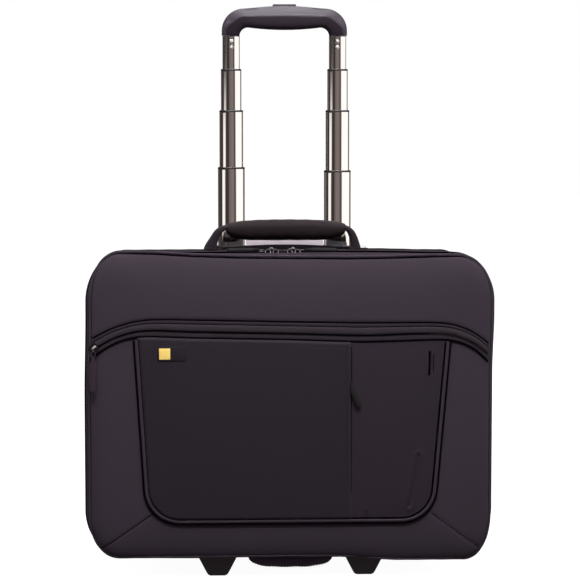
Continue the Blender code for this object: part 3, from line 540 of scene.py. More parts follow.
def panel_lattice(inset, columns, rows_per_corner, spacing):
    """(x, z) arrays that fill the outline, row by row, with rows that follow the round corners."""
    low, high = BOTTOM_Z + inset, TOP_Z - inset
    r_low, r_top = CORNER_Z[0] - inset, CORNER_Z[1] - inset
    turns = np.linspace(0, math.pi / 2, rows_per_corner + 1)
    bottom = low + r_low * (1 - np.cos(turns))
    middle = np.arange(low + r_low + spacing, high - r_top, spacing)
    top = (high - r_top * (1 - np.cos(turns)))[::-1]
    z = np.concatenate([bottom, middle, top])
    left, right = reach_at(z, inset, -1)[:, None], reach_at(z, inset, 1)[:, None]
    share = np.linspace(0, 1, columns)[None, :]
    return -left + (left + right) * share, np.repeat(z[:, None], columns, axis=1)


# ---- Front outlines ------------------------------------------------------------------------------

# Each arched line: height, radius and corner of its left end, points of its middle, then its right end.
FLAP_LINES = {
    "top": ((0.2980, 0.134, 0.151), ((-0.117, 0.2972), (0.0, 0.2944), (0.08, 0.2930)), (0.2930, 0.082, 0.1655)),
    "edge": ((0.2860, 0.105, 0.158), ((-0.117, 0.2838), (0.0, 0.2813), (0.08, 0.2785), (0.12, 0.2800)),
             (0.2810, 0.078, 0.1675)),
    "low": ((0.2790, 0.080, 0.166), ((-0.117, 0.2768), (0.0, 0.2743), (0.08, 0.2713), (0.12, 0.2722)),
            (0.2740, 0.062, 0.173)),
}
FLAP_END_X = FLAP_HIGH.x


def arch(kind):
    """(x, z) along one arched line of the zip flap, from the left end to the right end."""
    (left_z, left_r, left_x), middle, (right_z, right_r, right_x) = FLAP_LINES[kind]
    left_turn = math.degrees(math.asin((FLAP_END_X - left_x) / left_r))
    right_turn = math.degrees(math.asin((FLAP_END_X - right_x) / right_r))
    left = corner_arc(-left_x, left_z - left_r, left_r, 90 + left_turn, 90, 20)
    right = corner_arc(right_x, right_z - right_r, right_r, 90, 90 - right_turn, 20)
    return softened(resample(np.concatenate([left, np.array(middle), right]), 0.003), 25)


# Half width of the pocket at its top and at its foot, on each side.
POCKET_SIDES = {-1: (0.1747, 0.1640), 1: (0.1776, 0.1632)}
POCKET_RADIUS = 0.038


def pocket_edge(margin=0.0):
    """(x, z) down the pocket's left side, round its foot and up its right side."""
    low, radius = LEAF_LOW.z + margin, POCKET_RADIUS - margin
    (wide_l, narrow_l), (wide_r, narrow_r) = POCKET_SIDES[-1], POCKET_SIDES[1]
    left = corner_arc(-(narrow_l - margin - radius), low + radius, radius, 184, 270, 16)
    right = corner_arc(narrow_r - margin - radius, low + radius, radius, 270, 356, 16)
    return resample(np.concatenate([[(-(wide_l - margin), 0.2742)], left, right, [(wide_r - margin, 0.2708)]]), 0.003)


def pocket_top(x):
    """Height of the pocket's upper edge, just under the flap's lowest line."""
    return read_off(x, arch("low")) - 0.0006


# The sloping seams at the two lower corners, from the pocket outwards.
MITRES = [
    np.array([(-0.1585, 0.0750), (-0.2135, 0.0370)]),
    np.array([(0.1600, 0.0745), (0.2140, 0.0350)]),
]


# ---- Cloth simulation ----------------------------------------------------------------------------


# The simulated lattice takes every SIM_STEP-th point of the fine one, and its cloth is CLOTH_SLACK too large.
SIM_STEP = 4
CLOTH_SLACK = 0.006
SIM_FRAMES = 32


def puff(x, z, pinned, cap):
    """Outward swell of a slack cloth held along its pinned points, from a cloth simulation.
    x, z are coarse arrays; the result is the swell at each point, in metres."""
    rows, columns = x.shape
    points = np.stack([x, np.zeros_like(x), z], axis=2)
    mesh = bpy.data.meshes.new("sim")
    mesh.from_pydata(points.reshape(-1, 3).tolist(), [], grid_faces(rows, columns))
    cloth_object = bpy.data.objects.new("sim", mesh)
    bpy.context.scene.collection.objects.link(cloth_object)
    group = cloth_object.vertex_groups.new(name="pin")
    group.add([int(k) for k in np.flatnonzero(pinned.ravel())], 1.0, "REPLACE")
    modifier = cloth_object.modifiers.new("cloth", "CLOTH")
    settings = modifier.settings
    settings.quality = 6
    settings.mass = 0.3
    settings.vertex_group_mass = "pin"
    settings.shrink_min = -CLOTH_SLACK
    settings.tension_stiffness = settings.compression_stiffness = 25
    settings.bending_stiffness = 0.6
    settings.air_damping = 4
    settings.effector_weights.gravity = 1.0
    modifier.collision_settings.use_collision = False
    scene = bpy.context.scene
    gravity = tuple(scene.gravity)
    scene.gravity = (0.0, -6.0, -1.2)
    modifier.point_cache.frame_end = 40
    for step in range(1, SIM_FRAMES + 1):
        scene.frame_set(step)
    held = cloth_object.evaluated_get(bpy.context.evaluated_depsgraph_get())
    co = np.zeros(rows * columns * 3, dtype=np.float32)
    held.data.vertices.foreach_get("co", co)
    scene.frame_set(1)
    scene.gravity = gravity
    bpy.data.objects.remove(cloth_object)
    swell = -co.reshape(rows, columns, 3)[:, :, 1]
    for _ in range(14):
        wide = np.pad(swell, 1, mode="edge")
        near = wide[:-2, 1:-1] + wide[2:, 1:-1] + wide[1:-1, :-2] + wide[1:-1, 2:]
        swell = np.where(pinned, 0.0, (swell * 2 + near) / 6)
    return swell * cap / max(float(np.abs(swell).max()), cap)


def upsample(values, rows, columns):
    """Smooth values on a coarse lattice taken to a finer one over the same cloth."""
    r = np.linspace(0, values.shape[0] - 1, rows)
    c = np.linspace(0, values.shape[1] - 1, columns)
    wide = np.stack([np.interp(c, np.arange(values.shape[1]), row) for row in values])
    return np.stack([np.interp(r, np.arange(values.shape[0]), wide[:, k]) for k in range(columns)], axis=1)


def swell_over(x, z, held, cap):
    """Swell at each point of a fine lattice, with the cloth held where held(x, z) says."""
    cx, cz = x[::SIM_STEP, ::SIM_STEP], z[::SIM_STEP, ::SIM_STEP]
    return upsample(puff(cx, cz, held(cx, cz), cap), *x.shape)


# ---- Front section -------------------------------------------------------------------------------


def rolled(x, z):
    """How far the front face stands out from its edge at each point, and the distance from that edge."""
    border = distance_to(x, z, closed_edge(PANEL_INSET, 1.0))
    away = smooth_step(HALF_WIDTH - np.abs(x), 0.012, 0.085)
    roll = 0.022 + away * np.where(z > (BOTTOM_Z + TOP_Z) / 2, 0.036, 0.026)
    t = np.clip(border / roll, 0, 1)
    return (RIM_Y - FACE_Y) * np.sqrt(1 - (1 - t) ** 2), border


def face_y(x, z):
    """Depth of the front face at each point."""
    return RIM_Y - rolled(x, z)[0]


def under_pocket(x, z):
    """Where the front cloth lies under the zip flap or the pocket, as a mask."""
    flap = (z > read_off(x, arch("low"))) & (z < read_off(x, arch("top")))
    side = np.where(x < 0, pocket_side_x(z, -1), pocket_side_x(z, 1))
    return flap | ((z > LEAF_LOW.z) & (z < pocket_top(x)) & (np.abs(x) < side))


def front_held(x, z):
    """Where the front cloth is sewn down, as a mask: its edge, its seams and all that the pocket covers."""
    held = distance_to(x, z, closed_edge(PANEL_INSET, 1.0)) < 0.004
    for line in (arch("top"), arch("low"), pocket_edge(), *MITRES):
        held |= distance_to(x, z, line) < 0.0035
    return held | under_pocket(x, z)


def front_cloth():
    """The front panel's cloth: rolled edges, swelling between its seams, with mitre seams at the foot."""
    x, z = settle(*panel_lattice(PANEL_INSET, 300, 30, 0.0016), 1.0)
    out, border = rolled(x, z)
    out += swell_over(x, z, front_held, 0.0014) * smooth_step(border, 0.001, 0.010)
    for line in MITRES:
        out -= groove(distance_to(x, z, line), 0.0011, 0.0011)
    out -= groove(distance_to(x, z, arch("top")), 0.0016, 0.0009)
    out -= groove(distance_to(x, z, arch("low")), 0.0016, 0.0006)
    out -= groove(distance_to(x, z, pocket_edge(-0.0026)), 0.0012, 0.0012)
    uv = np.stack([x, z], axis=2)
    # Near-black lines along the mitre seams: painted shade in their grooves.
    for side, line in zip(("left", "right"), MITRES):
        path = resample(line, 0.004)
        shaded_seam_line(f"mitre_seam_{side}", path, face_y(path[:, 0], path[:, 1]) + 0.0007, 0.00045)
    cloth = lattice("front_cloth", np.stack([x, RIM_Y - out, z], axis=2), TWILL, "lid", uv=uv,
                    node_names=["front_panel"], slot="twill")
    back = np.stack([x, np.full_like(x, EDGE_Y + 0.0003), z], axis=2)[::6, ::6]
    lattice("front_lining", back, LINING, "lid", uv=uv[::6, ::6], flip=True, slot="lining")


# Sides of the small bars that stitches and zip teeth are made of.
BAR_SIDES = 6


def add_bar(verts, faces, uv, stations, across, out, radius, length):
    """Add one closed bar. Each station is its share of the length, its centre and its thickness."""
    start = len(verts)
    for t, middle, fat in stations:
        for k in range(BAR_SIDES):
            turn = 2 * math.pi * k / BAR_SIDES
            verts.append(middle + across * fat * math.cos(turn) + out * fat * math.sin(turn))
            uv.append((t * length, turn * radius))
    faces += grid_faces(len(stations), BAR_SIDES, wrap_columns=True, start=start)
    faces.append(tuple(start + k for k in range(BAR_SIDES))[::-1])
    faces.append(tuple(start + (len(stations) - 1) * BAR_SIDES + k for k in range(BAR_SIDES)))


STITCH_PITCH, STITCH_LENGTH, STITCH_RADIUS = 0.0034, 0.0023, 0.00028


def stitches(name, line, body, face=(0, -1, 0)):
    """A row of stitches along 3-D points, standing out towards face."""
    path = resample(line, STITCH_PITCH)
    face = np.asarray(face, dtype=float)
    verts, faces, uv = [], [], []
    for centre, way in zip(path, unit(np.gradient(path, axis=0))):
        stations = []
        for t in (-1.0, -0.5, 0.0, 0.5, 1.0):
            lift = 0.00022 * (1 - t * t)
            stations.append((t, centre + way * STITCH_LENGTH / 2 * t + face * lift, STITCH_RADIUS * (1 - 0.55 * t * t)))
        add_bar(verts, faces, uv, stations, np.cross(way, face), face, STITCH_RADIUS, STITCH_LENGTH)
    return finish_mesh(name, verts, faces, THREAD, body, uv=uv, slot="twill")


def shaded_seam_line(name, line, y, radius):
    """A thin near-black line along an (x, z) line on the front: a seam or edge whose darkness is painted shade of its
    gap.
    """
    return sweep(name, upright(line, y), round_profile(radius), SEAM_SHADE, "lid", slot="zip_tape")


# Each strip of the flap: the share of the way from one arched line to the next, and how far it stands out.
UPPER_STRIP = (
    (-0.06, -0.0006), (0.0, 0.0006), (0.06, 0.0014), (0.14, 0.0019), (0.24, 0.0019), (0.32, 0.0016), (0.36, 0.0013),
    (0.42, 0.0018), (0.52, 0.0023), (0.64, 0.0025), (0.76, 0.0026), (0.88, 0.0025), (0.97, 0.0020), (1.0, 0.0012),
    (1.0, 0.0000),
)
LOWER_STRIP = (
    (-0.35, 0.0003), (0.0, 0.0006), (0.14, 0.0010), (0.30, 0.0013), (0.55, 0.0014), (0.78, 0.0014), (0.92, 0.0011),
    (1.0, 0.0004), (1.06, -0.0008),
)


def zip_flap():
    """The arched flap over the pocket zip, the tape below it and the exposed coil at the right end."""
    count = 160
    top, edge, low = (even(arch(kind), count) for kind in ("top", "edge", "low"))

    def surface(line, height):
        return upright(line, face_y(line[:, 0], line[:, 1]) - 0.0001 - height)

    for name, first, last, strip, node_names in (("zip_flap_upper", top, edge, UPPER_STRIP, ["pocket_zip_flap"]),
                                                 ("zip_flap_lower", edge, low, LOWER_STRIP, [])):
        rows = [surface(first * (1 - share) + last * share, height) for share, height in strip]
        lattice(name, np.stack(rows), FLAP_CLOTH, "lid", node_names=node_names, slot="zip_tape")
    # Near-black lines along the flap's seams and the pocket's top: painted shade.
    for name, line, height, radius in (("flap_top_seam", top, 0.0012, 0.0010), ("flap_edge_seam", edge, 0.0017, 0.0008),
                                       ("flap_fold_seam", top * 0.64 + edge * 0.36, 0.0012, 0.0005),
                                       ("pocket_top_seam", low, 0.0012, 0.0009)):
        shaded_seam_line(name, line, surface(line, height)[:, 1], radius)
    stitches("flap_stitches", surface(top * 0.82 + edge * 0.18, 0.0016), "lid")
    stitches("flap_hem_stitches", surface(edge * 0.22 + low * 0.78, 0.0013), "lid")
    coil("pocket_zip_coil", surface(edge + (low - edge) * 0.06, 0.0021)[-26:], (0, -1, 0), "lid", half=0.0013)


def coil(name, path, face, body, half, pitch=0.0016, radius=0.00042):
    """Zip teeth: a row of small rounded bars across a path, shifted left and right in turn."""
    path = resample(path, pitch)
    face = np.asarray(face, dtype=float)
    if face.ndim == 1:
        face = np.tile(face, (len(path), 1))
    verts, faces, uv = [], [], []
    for n, (centre, way, out) in enumerate(zip(path, unit(np.gradient(path, axis=0)), face)):
        side = np.cross(way, out)
        shift = (0.28 if n % 2 else -0.28) * half
        stations = []
        for t in (i / 3 * 2 - 1 for i in range(4)):
            middle = centre + side * (half * t + shift) + out * radius * 0.6 * (1 - t * t)
            stations.append((t, middle, radius * (1.0 if abs(t) < 0.5 else 0.6)))
        add_bar(verts, faces, uv, stations, way, out, radius, half)
    return finish_mesh(name, verts, faces, COIL, body, uv=uv, slot="zip_tape")


def leaf_lattice(left_line, right_x, columns, rows):
    """(x, z) arrays between the pocket's outline and an upright edge. left_line maps z to x."""
    top, low = LEAF_HIGH.z, LEAF_LOW.z
    t = np.linspace(0, 1, rows)
    z = low + (top - low) * (0.35 * t**2 + 0.65 * t)
    left = left_line(z)[:, None]
    x = left + (right_x - left) * np.linspace(0, 1, columns)[None, :]
    z = np.repeat(z[:, None], columns, axis=1)
    return x, z + (pocket_top(x) - top) * smooth_step(z, 0.18, top)


def pocket_side_x(z, side):
    """Distance of the pocket's side from the middle at each height."""
    low, top, radius = LEAF_LOW.z, LEAF_HIGH.z, POCKET_RADIUS
    wide, narrow = POCKET_SIDES[side]
    centre_z, centre_x = low + radius, narrow - radius
    angle = math.radians(4)
    join_z = centre_z + radius * math.sin(angle)
    join_x = centre_x + radius * math.cos(angle)
    below = centre_x + np.sqrt(np.maximum(radius**2 - (np.minimum(z, join_z) - centre_z) ** 2, 0))
    above = join_x + (wide - join_x) * (z - join_z) / (top - join_z)
    return np.where(z < join_z, below, above)


# The slit on the right leaf and the faint line beside it, the crease low on it, and the tuck at its foot.
SLIT = np.array([(0.1568, 0.2590), (0.1562, 0.2330)])
SLIT_PAIR = np.array([(0.1612, 0.2570), (0.1608, 0.2370)])
CREASE = np.array([(0.1443, 0.1412), (0.1410, 0.1150), (0.1343, 0.0837)])
TUCK = np.array([(0.084, 0.077), (0.084, 0.062)])


def leaf_held(x, z):
    """Where a pocket leaf is sewn down, as a mask: along the pocket's edge and at its last column."""
    edge = pocket_edge()
    held = distance_to(x, z, np.concatenate([edge, edge[:1]])) < 0.004
    held[:, -1] = True
    return held


def pocket_leaves():
    """The two leaves of the front pocket, which overlap at the upright fold."""
    base = FACE_Y
    left_x, left_z = leaf_lattice(lambda z: -pocket_side_x(z, -1) + 0.0012, FOLD_X, 200, 170)
    right_x, right_z = leaf_lattice(lambda z: pocket_side_x(z, 1) - 0.0012, FOLD_X - 0.0085, 100, 170)
    leaves = (
        ("pocket_leaf_left", left_x, left_z, base - LEAF_LOW.y - 0.0002, "pocket_panel_left", FOLD_X),
        ("pocket_leaf_right", right_x, right_z, base - RIGHT_LOW.y + 0.0002, "pocket_panel_right", None),
    )
    edge = pocket_edge()
    zip_line = np.array([(FOLD_X + 0.0006, LEAF_HIGH.z - 0.006), (FOLD_X + 0.0004, 0.1000)])
    laid = []
    for name, x, z, level, node_name, fold in leaves:
        border = np.minimum(distance_to(x, z, edge), (pocket_top(x) - z) * 2.5)
        rise = smooth_step(border, 0.0005, 0.005)
        out = 0.0012 + (level - 0.0012) * rise
        out = out + swell_over(x, z, leaf_held, 0.0010) * smooth_step(border, 0.001, 0.012)
        if not fold:
            # Near-black lines in the slit, beside it and over the zip under the fold: painted shade, with a real zip
            # under the fold.
            for line_name, line, radius in (("pocket_slit", SLIT, 0.0010), ("pocket_slit_pair", SLIT_PAIR, 0.0004),
                                            ("side_zip_line", zip_line, 0.0010)):
                path = resample(line, 0.004)
                near = [value_at(out, x, z, px, pz) for px, pz in path]
                laid.append((line_name, path, base + 0.0004 - np.array(near), radius))
        if fold:
            roll = np.clip((fold - x) / 0.0035, 0, 1)
            out = out - 0.0016 * (1 - np.sqrt(1 - (1 - roll) ** 2))
            lip_height = 0.0013 * smooth_step(z, 0.085, 0.13)
            out = out + lip_height * np.exp(-(((x - fold + 0.0022) / 0.0022) ** 2))
        else:
            slit = distance_to(x, z, SLIT)
            out = out - groove(slit, 0.0010, 0.0026) + groove(np.abs(slit - 0.0026), 0.0012, 0.0006)
            out = out - groove(distance_to(x, z, SLIT_PAIR), 0.0009, 0.0007)
            crease = distance_to(x, z, CREASE)
            out = out - groove(crease, 0.0022, 0.0014) + groove(np.abs(crease - 0.0036), 0.0026, 0.0008)
            out = out - groove(distance_to(x, z, TUCK), 0.0012, 0.0011)
        points = np.stack([x, base - out, z], axis=2)
        if fold:
            middle = (LABEL_LOW + LABEL_HIGH) / 2
            label_out = value_at(out, x, z, middle.x, middle.z)
            lip = points[:, -1:, :].copy()
            tuck = [lip + np.array([dx, dy, 0.0]) for dx, dy in ((0.0002, 0.0006), (0.0000, 0.0012), (-0.0008, 0.0016),
                                                               (-0.0060, 0.0016))]
            points = np.concatenate([points, *tuck], axis=1)
        # The right leaf takes the lighter copy of the pocket cloth: painted light.
        made = lattice(name, points, POCKET if fold else POCKET_RIGHT_LIT, "lid", uv=flat_uv(points), flip=not fold,
                       node_names=[node_name], slot="smooth_fabric")

    profile = np.array([(0.0, 0.0027), (0.0016, 0.0023), (0.0028, 0.0013), (0.0032, 0.0), (0.0028, -0.0013),
                        (0.0016, -0.0023), (0.0, -0.0027), (-0.0008, 0.0)])
    sweep("pocket_piping", upright(edge, FACE_Y + 0.0001), profile, TWILL, "lid", slot="twill")
    # Near-black lines either side of the pocket's piping: painted shade.
    for name, margin in (("outer", -0.0027), ("inner", 0.0027)):
        shaded_seam_line(f"pocket_seam_{name}", pocket_edge(margin), FACE_Y - 0.0014, 0.0012)
    for line_name, path, y, radius in laid:
        shaded_seam_line(line_name, path, y, radius)
    return label_out


def front_label(out):
    """A plain woven patch with a blank square, sewn flat on the leaf, which stands out by out there."""
    shift = Vector((-0.0022, 0.0, 0.0017))
    low, high = LABEL_LOW + shift, LABEL_HIGH + shift
    y = FACE_Y - out - 0.0009
    slab("blank_patch", (low.x, high.x), (low.z, high.z), y, 0.0009, 0.0010, PATCH, "lid",
         node_names=["blank_label"], slot="label")
    height = high.z - low.z - 0.004
    square = (low.x + 0.0022, low.x + 0.0022 + height)
    slab("patch_square", square, (low.z + 0.002, high.z - 0.002), y - 0.0005, 0.0006, 0.0007, LABEL, "lid",
         slot="label")


def slab(name, x_range, z_range, y, depth, radius, material, body, **kw):
    """A thin upright patch with rounded corners and edges, standing out to -Y."""
    rings = []
    for shrink, out in ((0.0, 0.0), (0.0, 0.55), (0.25, 0.85), (0.7, 1.0)):
        inset = radius * shrink
        corners = []
        for cx, cz, start in ((x_range[0], z_range[0], 180), (x_range[1], z_range[0], 270),
                              (x_range[1], z_range[1], 0), (x_range[0], z_range[1], 90)):
            sx, sz = (1 if cx == x_range[0] else -1), (1 if cz == z_range[0] else -1)
            corners.append(corner_arc(cx + sx * radius, cz + sz * radius, radius - inset * 0.9, start, start + 90, 5))
        rings.append(upright(np.concatenate(corners), y + depth - depth * out))
    points = np.stack(rings)
    return lattice(name, points, material, body, uv=flat_uv(points), wrap_columns=True, caps=True, **kw)


# ---- Side bands, piping and main zip -------------------------------------------------------------


def band_cloth(name, stations, material, body, **kw):
    """A band round the case through (y, inset, lift) stations, closed back to its first station."""
    points = np.stack([outline_3d(inset, y, lift=lift) for y, inset, lift in stations])
    uv = np.stack([np.broadcast_to(reach_along(case_outline(0.0)), points.shape[:2]), points[:, :, 1]], axis=2)
    return lattice(name, points, material, body, uv=uv, wrap_rows=True, **kw)


def front_band():
    """The front section's side band up to the main zip tape, its piping and the seam line inside it."""
    front = RIM_Y
    span = TAPE_LOW.y - 0.0002 - front
    outer = []
    for t in np.linspace(0, 1, 12):
        pinch = 0.0016 * np.exp(-((t / 0.10) ** 2)) + 0.0006 * np.exp(-(((1 - t) / 0.06) ** 2))
        swell = 0.0004 * math.sin(math.pi * t) - 0.0009 * t
        outer.append((front + span * t, FRONT_INSET * (1 - t) ** 1.3 + pinch - swell, (1 - t) ** 1.5))
    inner = [(y, inset + BAND_WALL, lift) for y, inset, lift in outer[::-3]]
    # The band uses the darkened twill: painted shade.
    band_cloth("front_band", outer + inner, GUSSET_SHADED, "lid", node_names=["front_gusset"], slot="twill")
    bead = outline_3d(FRONT_INSET + 0.0002, EDGE_Y - 0.0003, whole=True, lift=1.0)
    piping_line("front_piping", bead, 0.0015, "lid", TWILL, closed=True)
    inner = outline_3d(FRONT_INSET + 0.0024, EDGE_Y - 0.0018, whole=True, lift=1.0)
    foot = inner[:, 2] < BOTTOM_Z + 0.020
    turn = int(np.flatnonzero(foot)[-1]) + 1
    inner = np.roll(inner, -turn, axis=0)[~np.roll(foot, -turn)]
    # Near-black line inside the front piping: painted shade of the seam.
    sweep("front_panel_seam", inner, round_profile(0.0010), SEAM_SHADE, "lid", slot="zip_tape")


def piping_line(name, path, radius, body, material, closed=False):
    """A covered cord whose thickness varies a little along its length."""
    wobble = radius * (1 + 0.05 * np.sin(np.arange(len(path)) * 0.9))
    profile = np.stack([round_profile(r, 10) for r in wobble])
    return sweep(name, path, profile, material, body, closed=closed, slot="twill")


def cut_out(made, low, high):
    """Cut a box away from a closed piece."""
    mesh = bpy.data.meshes.new("cutter")
    corners = [(x, y, z) for z in (low.z, high.z) for y in (low.y, high.y) for x in (low.x, high.x)]
    mesh.from_pydata(corners, [], [(0, 2, 3, 1), (4, 5, 7, 6), (0, 1, 5, 4), (2, 6, 7, 3), (0, 4, 6, 2), (1, 3, 7, 5)])
    cutter = bpy.data.objects.new("cutter", mesh)
    bpy.context.scene.collection.objects.link(cutter)
    cut = made.modifiers.new("cut", "BOOLEAN")
    cut.operation, cut.solver, cut.object = "DIFFERENCE", "EXACT", cutter
    shaped = bpy.data.meshes.new_from_object(made.evaluated_get(bpy.context.evaluated_depsgraph_get()))
    made.modifiers.remove(cut)
    made.data = shaped
    bpy.data.objects.remove(cutter)


def rear_band():
    """The deep side band of the case, cut away where the fixed tubes pass."""
    front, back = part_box("rear_zip_tape")[1].y + 0.0003, BACK_EDGE_Y
    span = back - front
    outer = []
    for t in np.linspace(0, 1, 26):
        pinch = 0.0016 * (np.exp(-((t / 0.03) ** 2)) + np.exp(-(((1 - t) / 0.03) ** 2)))
        swell = 0.0002 * math.sin(math.pi * t) ** 0.7
        outer.append((front + span * t, BACK_INSET * t + pinch - swell, 0.0))
    inner = [(y, inset + BAND_WALL, lift) for y, inset, lift in outer[::-5]]
    # The band uses the darkened twill: painted shade.
    made = band_cloth("rear_band", outer + inner, GUSSET_SHADED, "case", node_names=["rear_gusset"], slot="twill")
    made.visible_glossy = False
    for side in ("left", "right"):
        cut_out(made, *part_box(f"fixed_tube_{side}"))
    bead = outline_3d(BACK_INSET + 0.0004, BACK_EDGE_Y + 0.0004)
    piping_line("rear_piping", bead, 0.0018, "case", PIPING)


def main_zip():
    """Both halves of the main zip: tape, coil and the seam welt beside it; the welt is near-black, painted shade along
    the zip's edges.
    """
    for name, node_name, body, sign in (("zip_half_front", "front_zip_tape", "lid", -1),
                                        ("zip_half_rear", "rear_zip_tape", "case", 1)):
        width = TAPE_HIGH.y - TAPE_LOW.y
        near, far = PARTING_Y + sign * 0.0007, PARTING_Y + sign * (width + 0.0008)
        stations = [(near, 0.0012, 0), (near + sign * 0.0004, 0.0008, 0), ((near + far) / 2, 0.0007, 0),
                    (far - sign * 0.0006, 0.0009, 0), (far, 0.0024, 0), ((near + far) / 2, 0.0026, 0),
                    (near, 0.0024, 0)]
        if sign < 0:
            stations = stations[::-1]
        band_cloth(name, stations, TAPE, body, node_names=[node_name], slot="zip_tape")
        flat = outline_3d(0.0010, PARTING_Y + sign * 0.0009)
        way = np.gradient(flat, axis=0)
        out = unit(np.stack([-way[:, 2], 0 * way[:, 0], way[:, 0]], axis=1))
        path = resample(flat, 0.0016)
        shares = np.linspace(0, 1, len(path))
        normals = np.stack([np.interp(shares, np.linspace(0, 1, len(out)), out[:, k]) for k in range(3)], axis=1)
        coil(f"{name}_coil", path, normals, body, half=0.0010, pitch=0.0017, radius=0.0006)
        cord_y = PARTING_Y + sign * (0.0016 if sign > 0 else width + 0.0008)
        # The welt's near-black colour is painted shade along the zip edge.
        sweep(f"{name}_cord", outline_3d(0.0008, cord_y), round_profile(0.0015), SEAM_SHADE, body, slot="zip_tape")


# ---- Solid fittings ------------------------------------------------------------------------------


def box_uv(mesh):
    """UVs in metres, taken straight at each face along its main axis."""
    layer = mesh.uv_layers.get("UVMap") or mesh.uv_layers.new(name="UVMap")
    for face in mesh.polygons:
        main = max(range(3), key=lambda k: abs(face.normal[k]))
        first, second = [k for k in range(3) if k != main]
        for loop in face.loop_indices:
            point = mesh.vertices[mesh.loops[loop].vertex_index].co
            layer.data[loop].uv = (point[first], point[second])


def solid_copy(node_name, material, body, radius, segments, name=None):
    """A copy of a CAD node with rounded edges."""
    source = frame["nodes"][node_name]
    made = bpy.data.objects.new(name or f"{node_name}_body", source.data.copy())
    made.data.transform(source.matrix_world)
    bpy.context.scene.collection.objects.link(made)
    made.data.materials.clear()
    made.data.materials.append(material)
    bevel = made.modifiers.new("bevel", "BEVEL")
    bevel.width, bevel.segments = radius, segments
    bevel.limit_method, bevel.angle_limit = "ANGLE", math.radians(32)
    bevel.harden_normals = False
    shaped = bpy.data.meshes.new_from_object(made.evaluated_get(bpy.context.evaluated_depsgraph_get()))
    made.modifiers.clear()
    made.data = shaped
    made.data.shade_smooth()
    made.data.set_sharp_from_angle(angle=math.radians(40))
    box_uv(made.data)
    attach(made, body)
    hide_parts(node_name)
    return made


# The visible tubes are a little slimmer than their CAD nodes.
TUBE_FIT = 0.96
TUBE_WALL, TUBE_LIP = 0.0011, 0.0007
TUBE_STEPS, TUBE_SQUARENESS = 72, 2.5
# The bushing's profile over the tube's lip: height over the tube's top, and inset from the tube's outside.
BUSHING = (
    (-0.0007, 0.0006), (-0.0006, -0.0001), (0.0, -0.0002), (0.0007, -0.0001), (0.0012, 0.0002), (0.0015, 0.0006),
    (0.0016, 0.0011),
)
BUSHING_FOOT = 0.004


def tube_ring(centre, z, half_u, half_v):
    """One level of a tube: a rounded square round its centre line."""
    ring = super_profile(half_u, half_v, TUBE_SQUARENESS, TUBE_STEPS)
    return np.stack([centre.x + ring[:, 0], centre.y + ring[:, 1], np.full(TUBE_STEPS, z)], axis=1)


def tube_stage(stage, side, body, next_half):
    """One polished tube with a rolled lip and the thin dark bushing that guides the next tube."""
    low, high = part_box(f"stage_{stage}_tube_{side}")
    half_u, half_v = (high.x - low.x) / 2 * TUBE_FIT, (high.y - low.y) / 2 * TUBE_FIT
    centre = (low + high) / 2 + Vector((math.copysign(0.0004, low.x), 0.0, 0.0))
    stations = [(low.z, 0.0), (low.z + 0.001, 0.0)]
    stations += [(z, 0.0) for z in np.linspace(low.z + 0.01, high.z - 0.0016, 24)]
    stations += [(high.z - TUBE_LIP * (1 - math.sin(a)), TUBE_LIP * (1 - math.cos(a)))
                 for a in np.linspace(0, math.pi / 2, 5)]
    stations += [(high.z - 0.001, TUBE_WALL), (low.z + 0.001, TUBE_WALL), (low.z, TUBE_WALL)]
    rows = [tube_ring(centre, z, half_u - inset, half_v - inset) for z, inset in stations]
    lattice(f"tube_{stage}_{side}", np.stack(rows), TUBE, body, wrap_rows=True, wrap_columns=True,
            node_names=[f"stage_{stage}_tube_{side}"], slot="tube_metal")
    if not next_half:
        return
    u, v = next_half[0] + 0.00025, next_half[1] + 0.00025
    rows = [tube_ring(centre, high.z + lift, half_u - inset, half_v - inset) for lift, inset in BUSHING]
    rows += [tube_ring(centre, high.z + lift, u, v) for lift in (0.0015, -BUSHING_FOOT)]
    rows.append(tube_ring(centre, high.z - BUSHING_FOOT, min(u + 0.0002, half_u - TUBE_WALL),
                          min(v + 0.0002, half_v - TUBE_WALL)))
    lattice(f"bushing_{stage}_{side}", np.stack(rows), COLLAR, body, wrap_rows=True, wrap_columns=True,
            slot="black_plastic")


def tubes():
    """The four sliding stages on each side."""
    for side in ("left", "right"):
        inner = None
        for stage in (1, 2, 3, 4):
            low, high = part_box(f"stage_{stage}_tube_{side}")
            tube_stage(stage, side, "handle" if stage == 1 else f"stage_{stage}", inner)
            inner = ((high.x - low.x) / 2 * TUBE_FIT, (high.y - low.y) / 2 * TUBE_FIT)


# Shares of the way from the middle to a leg's end where the grip's bend starts and ends.
BEND_START, BEND_END = 0.46, 0.82


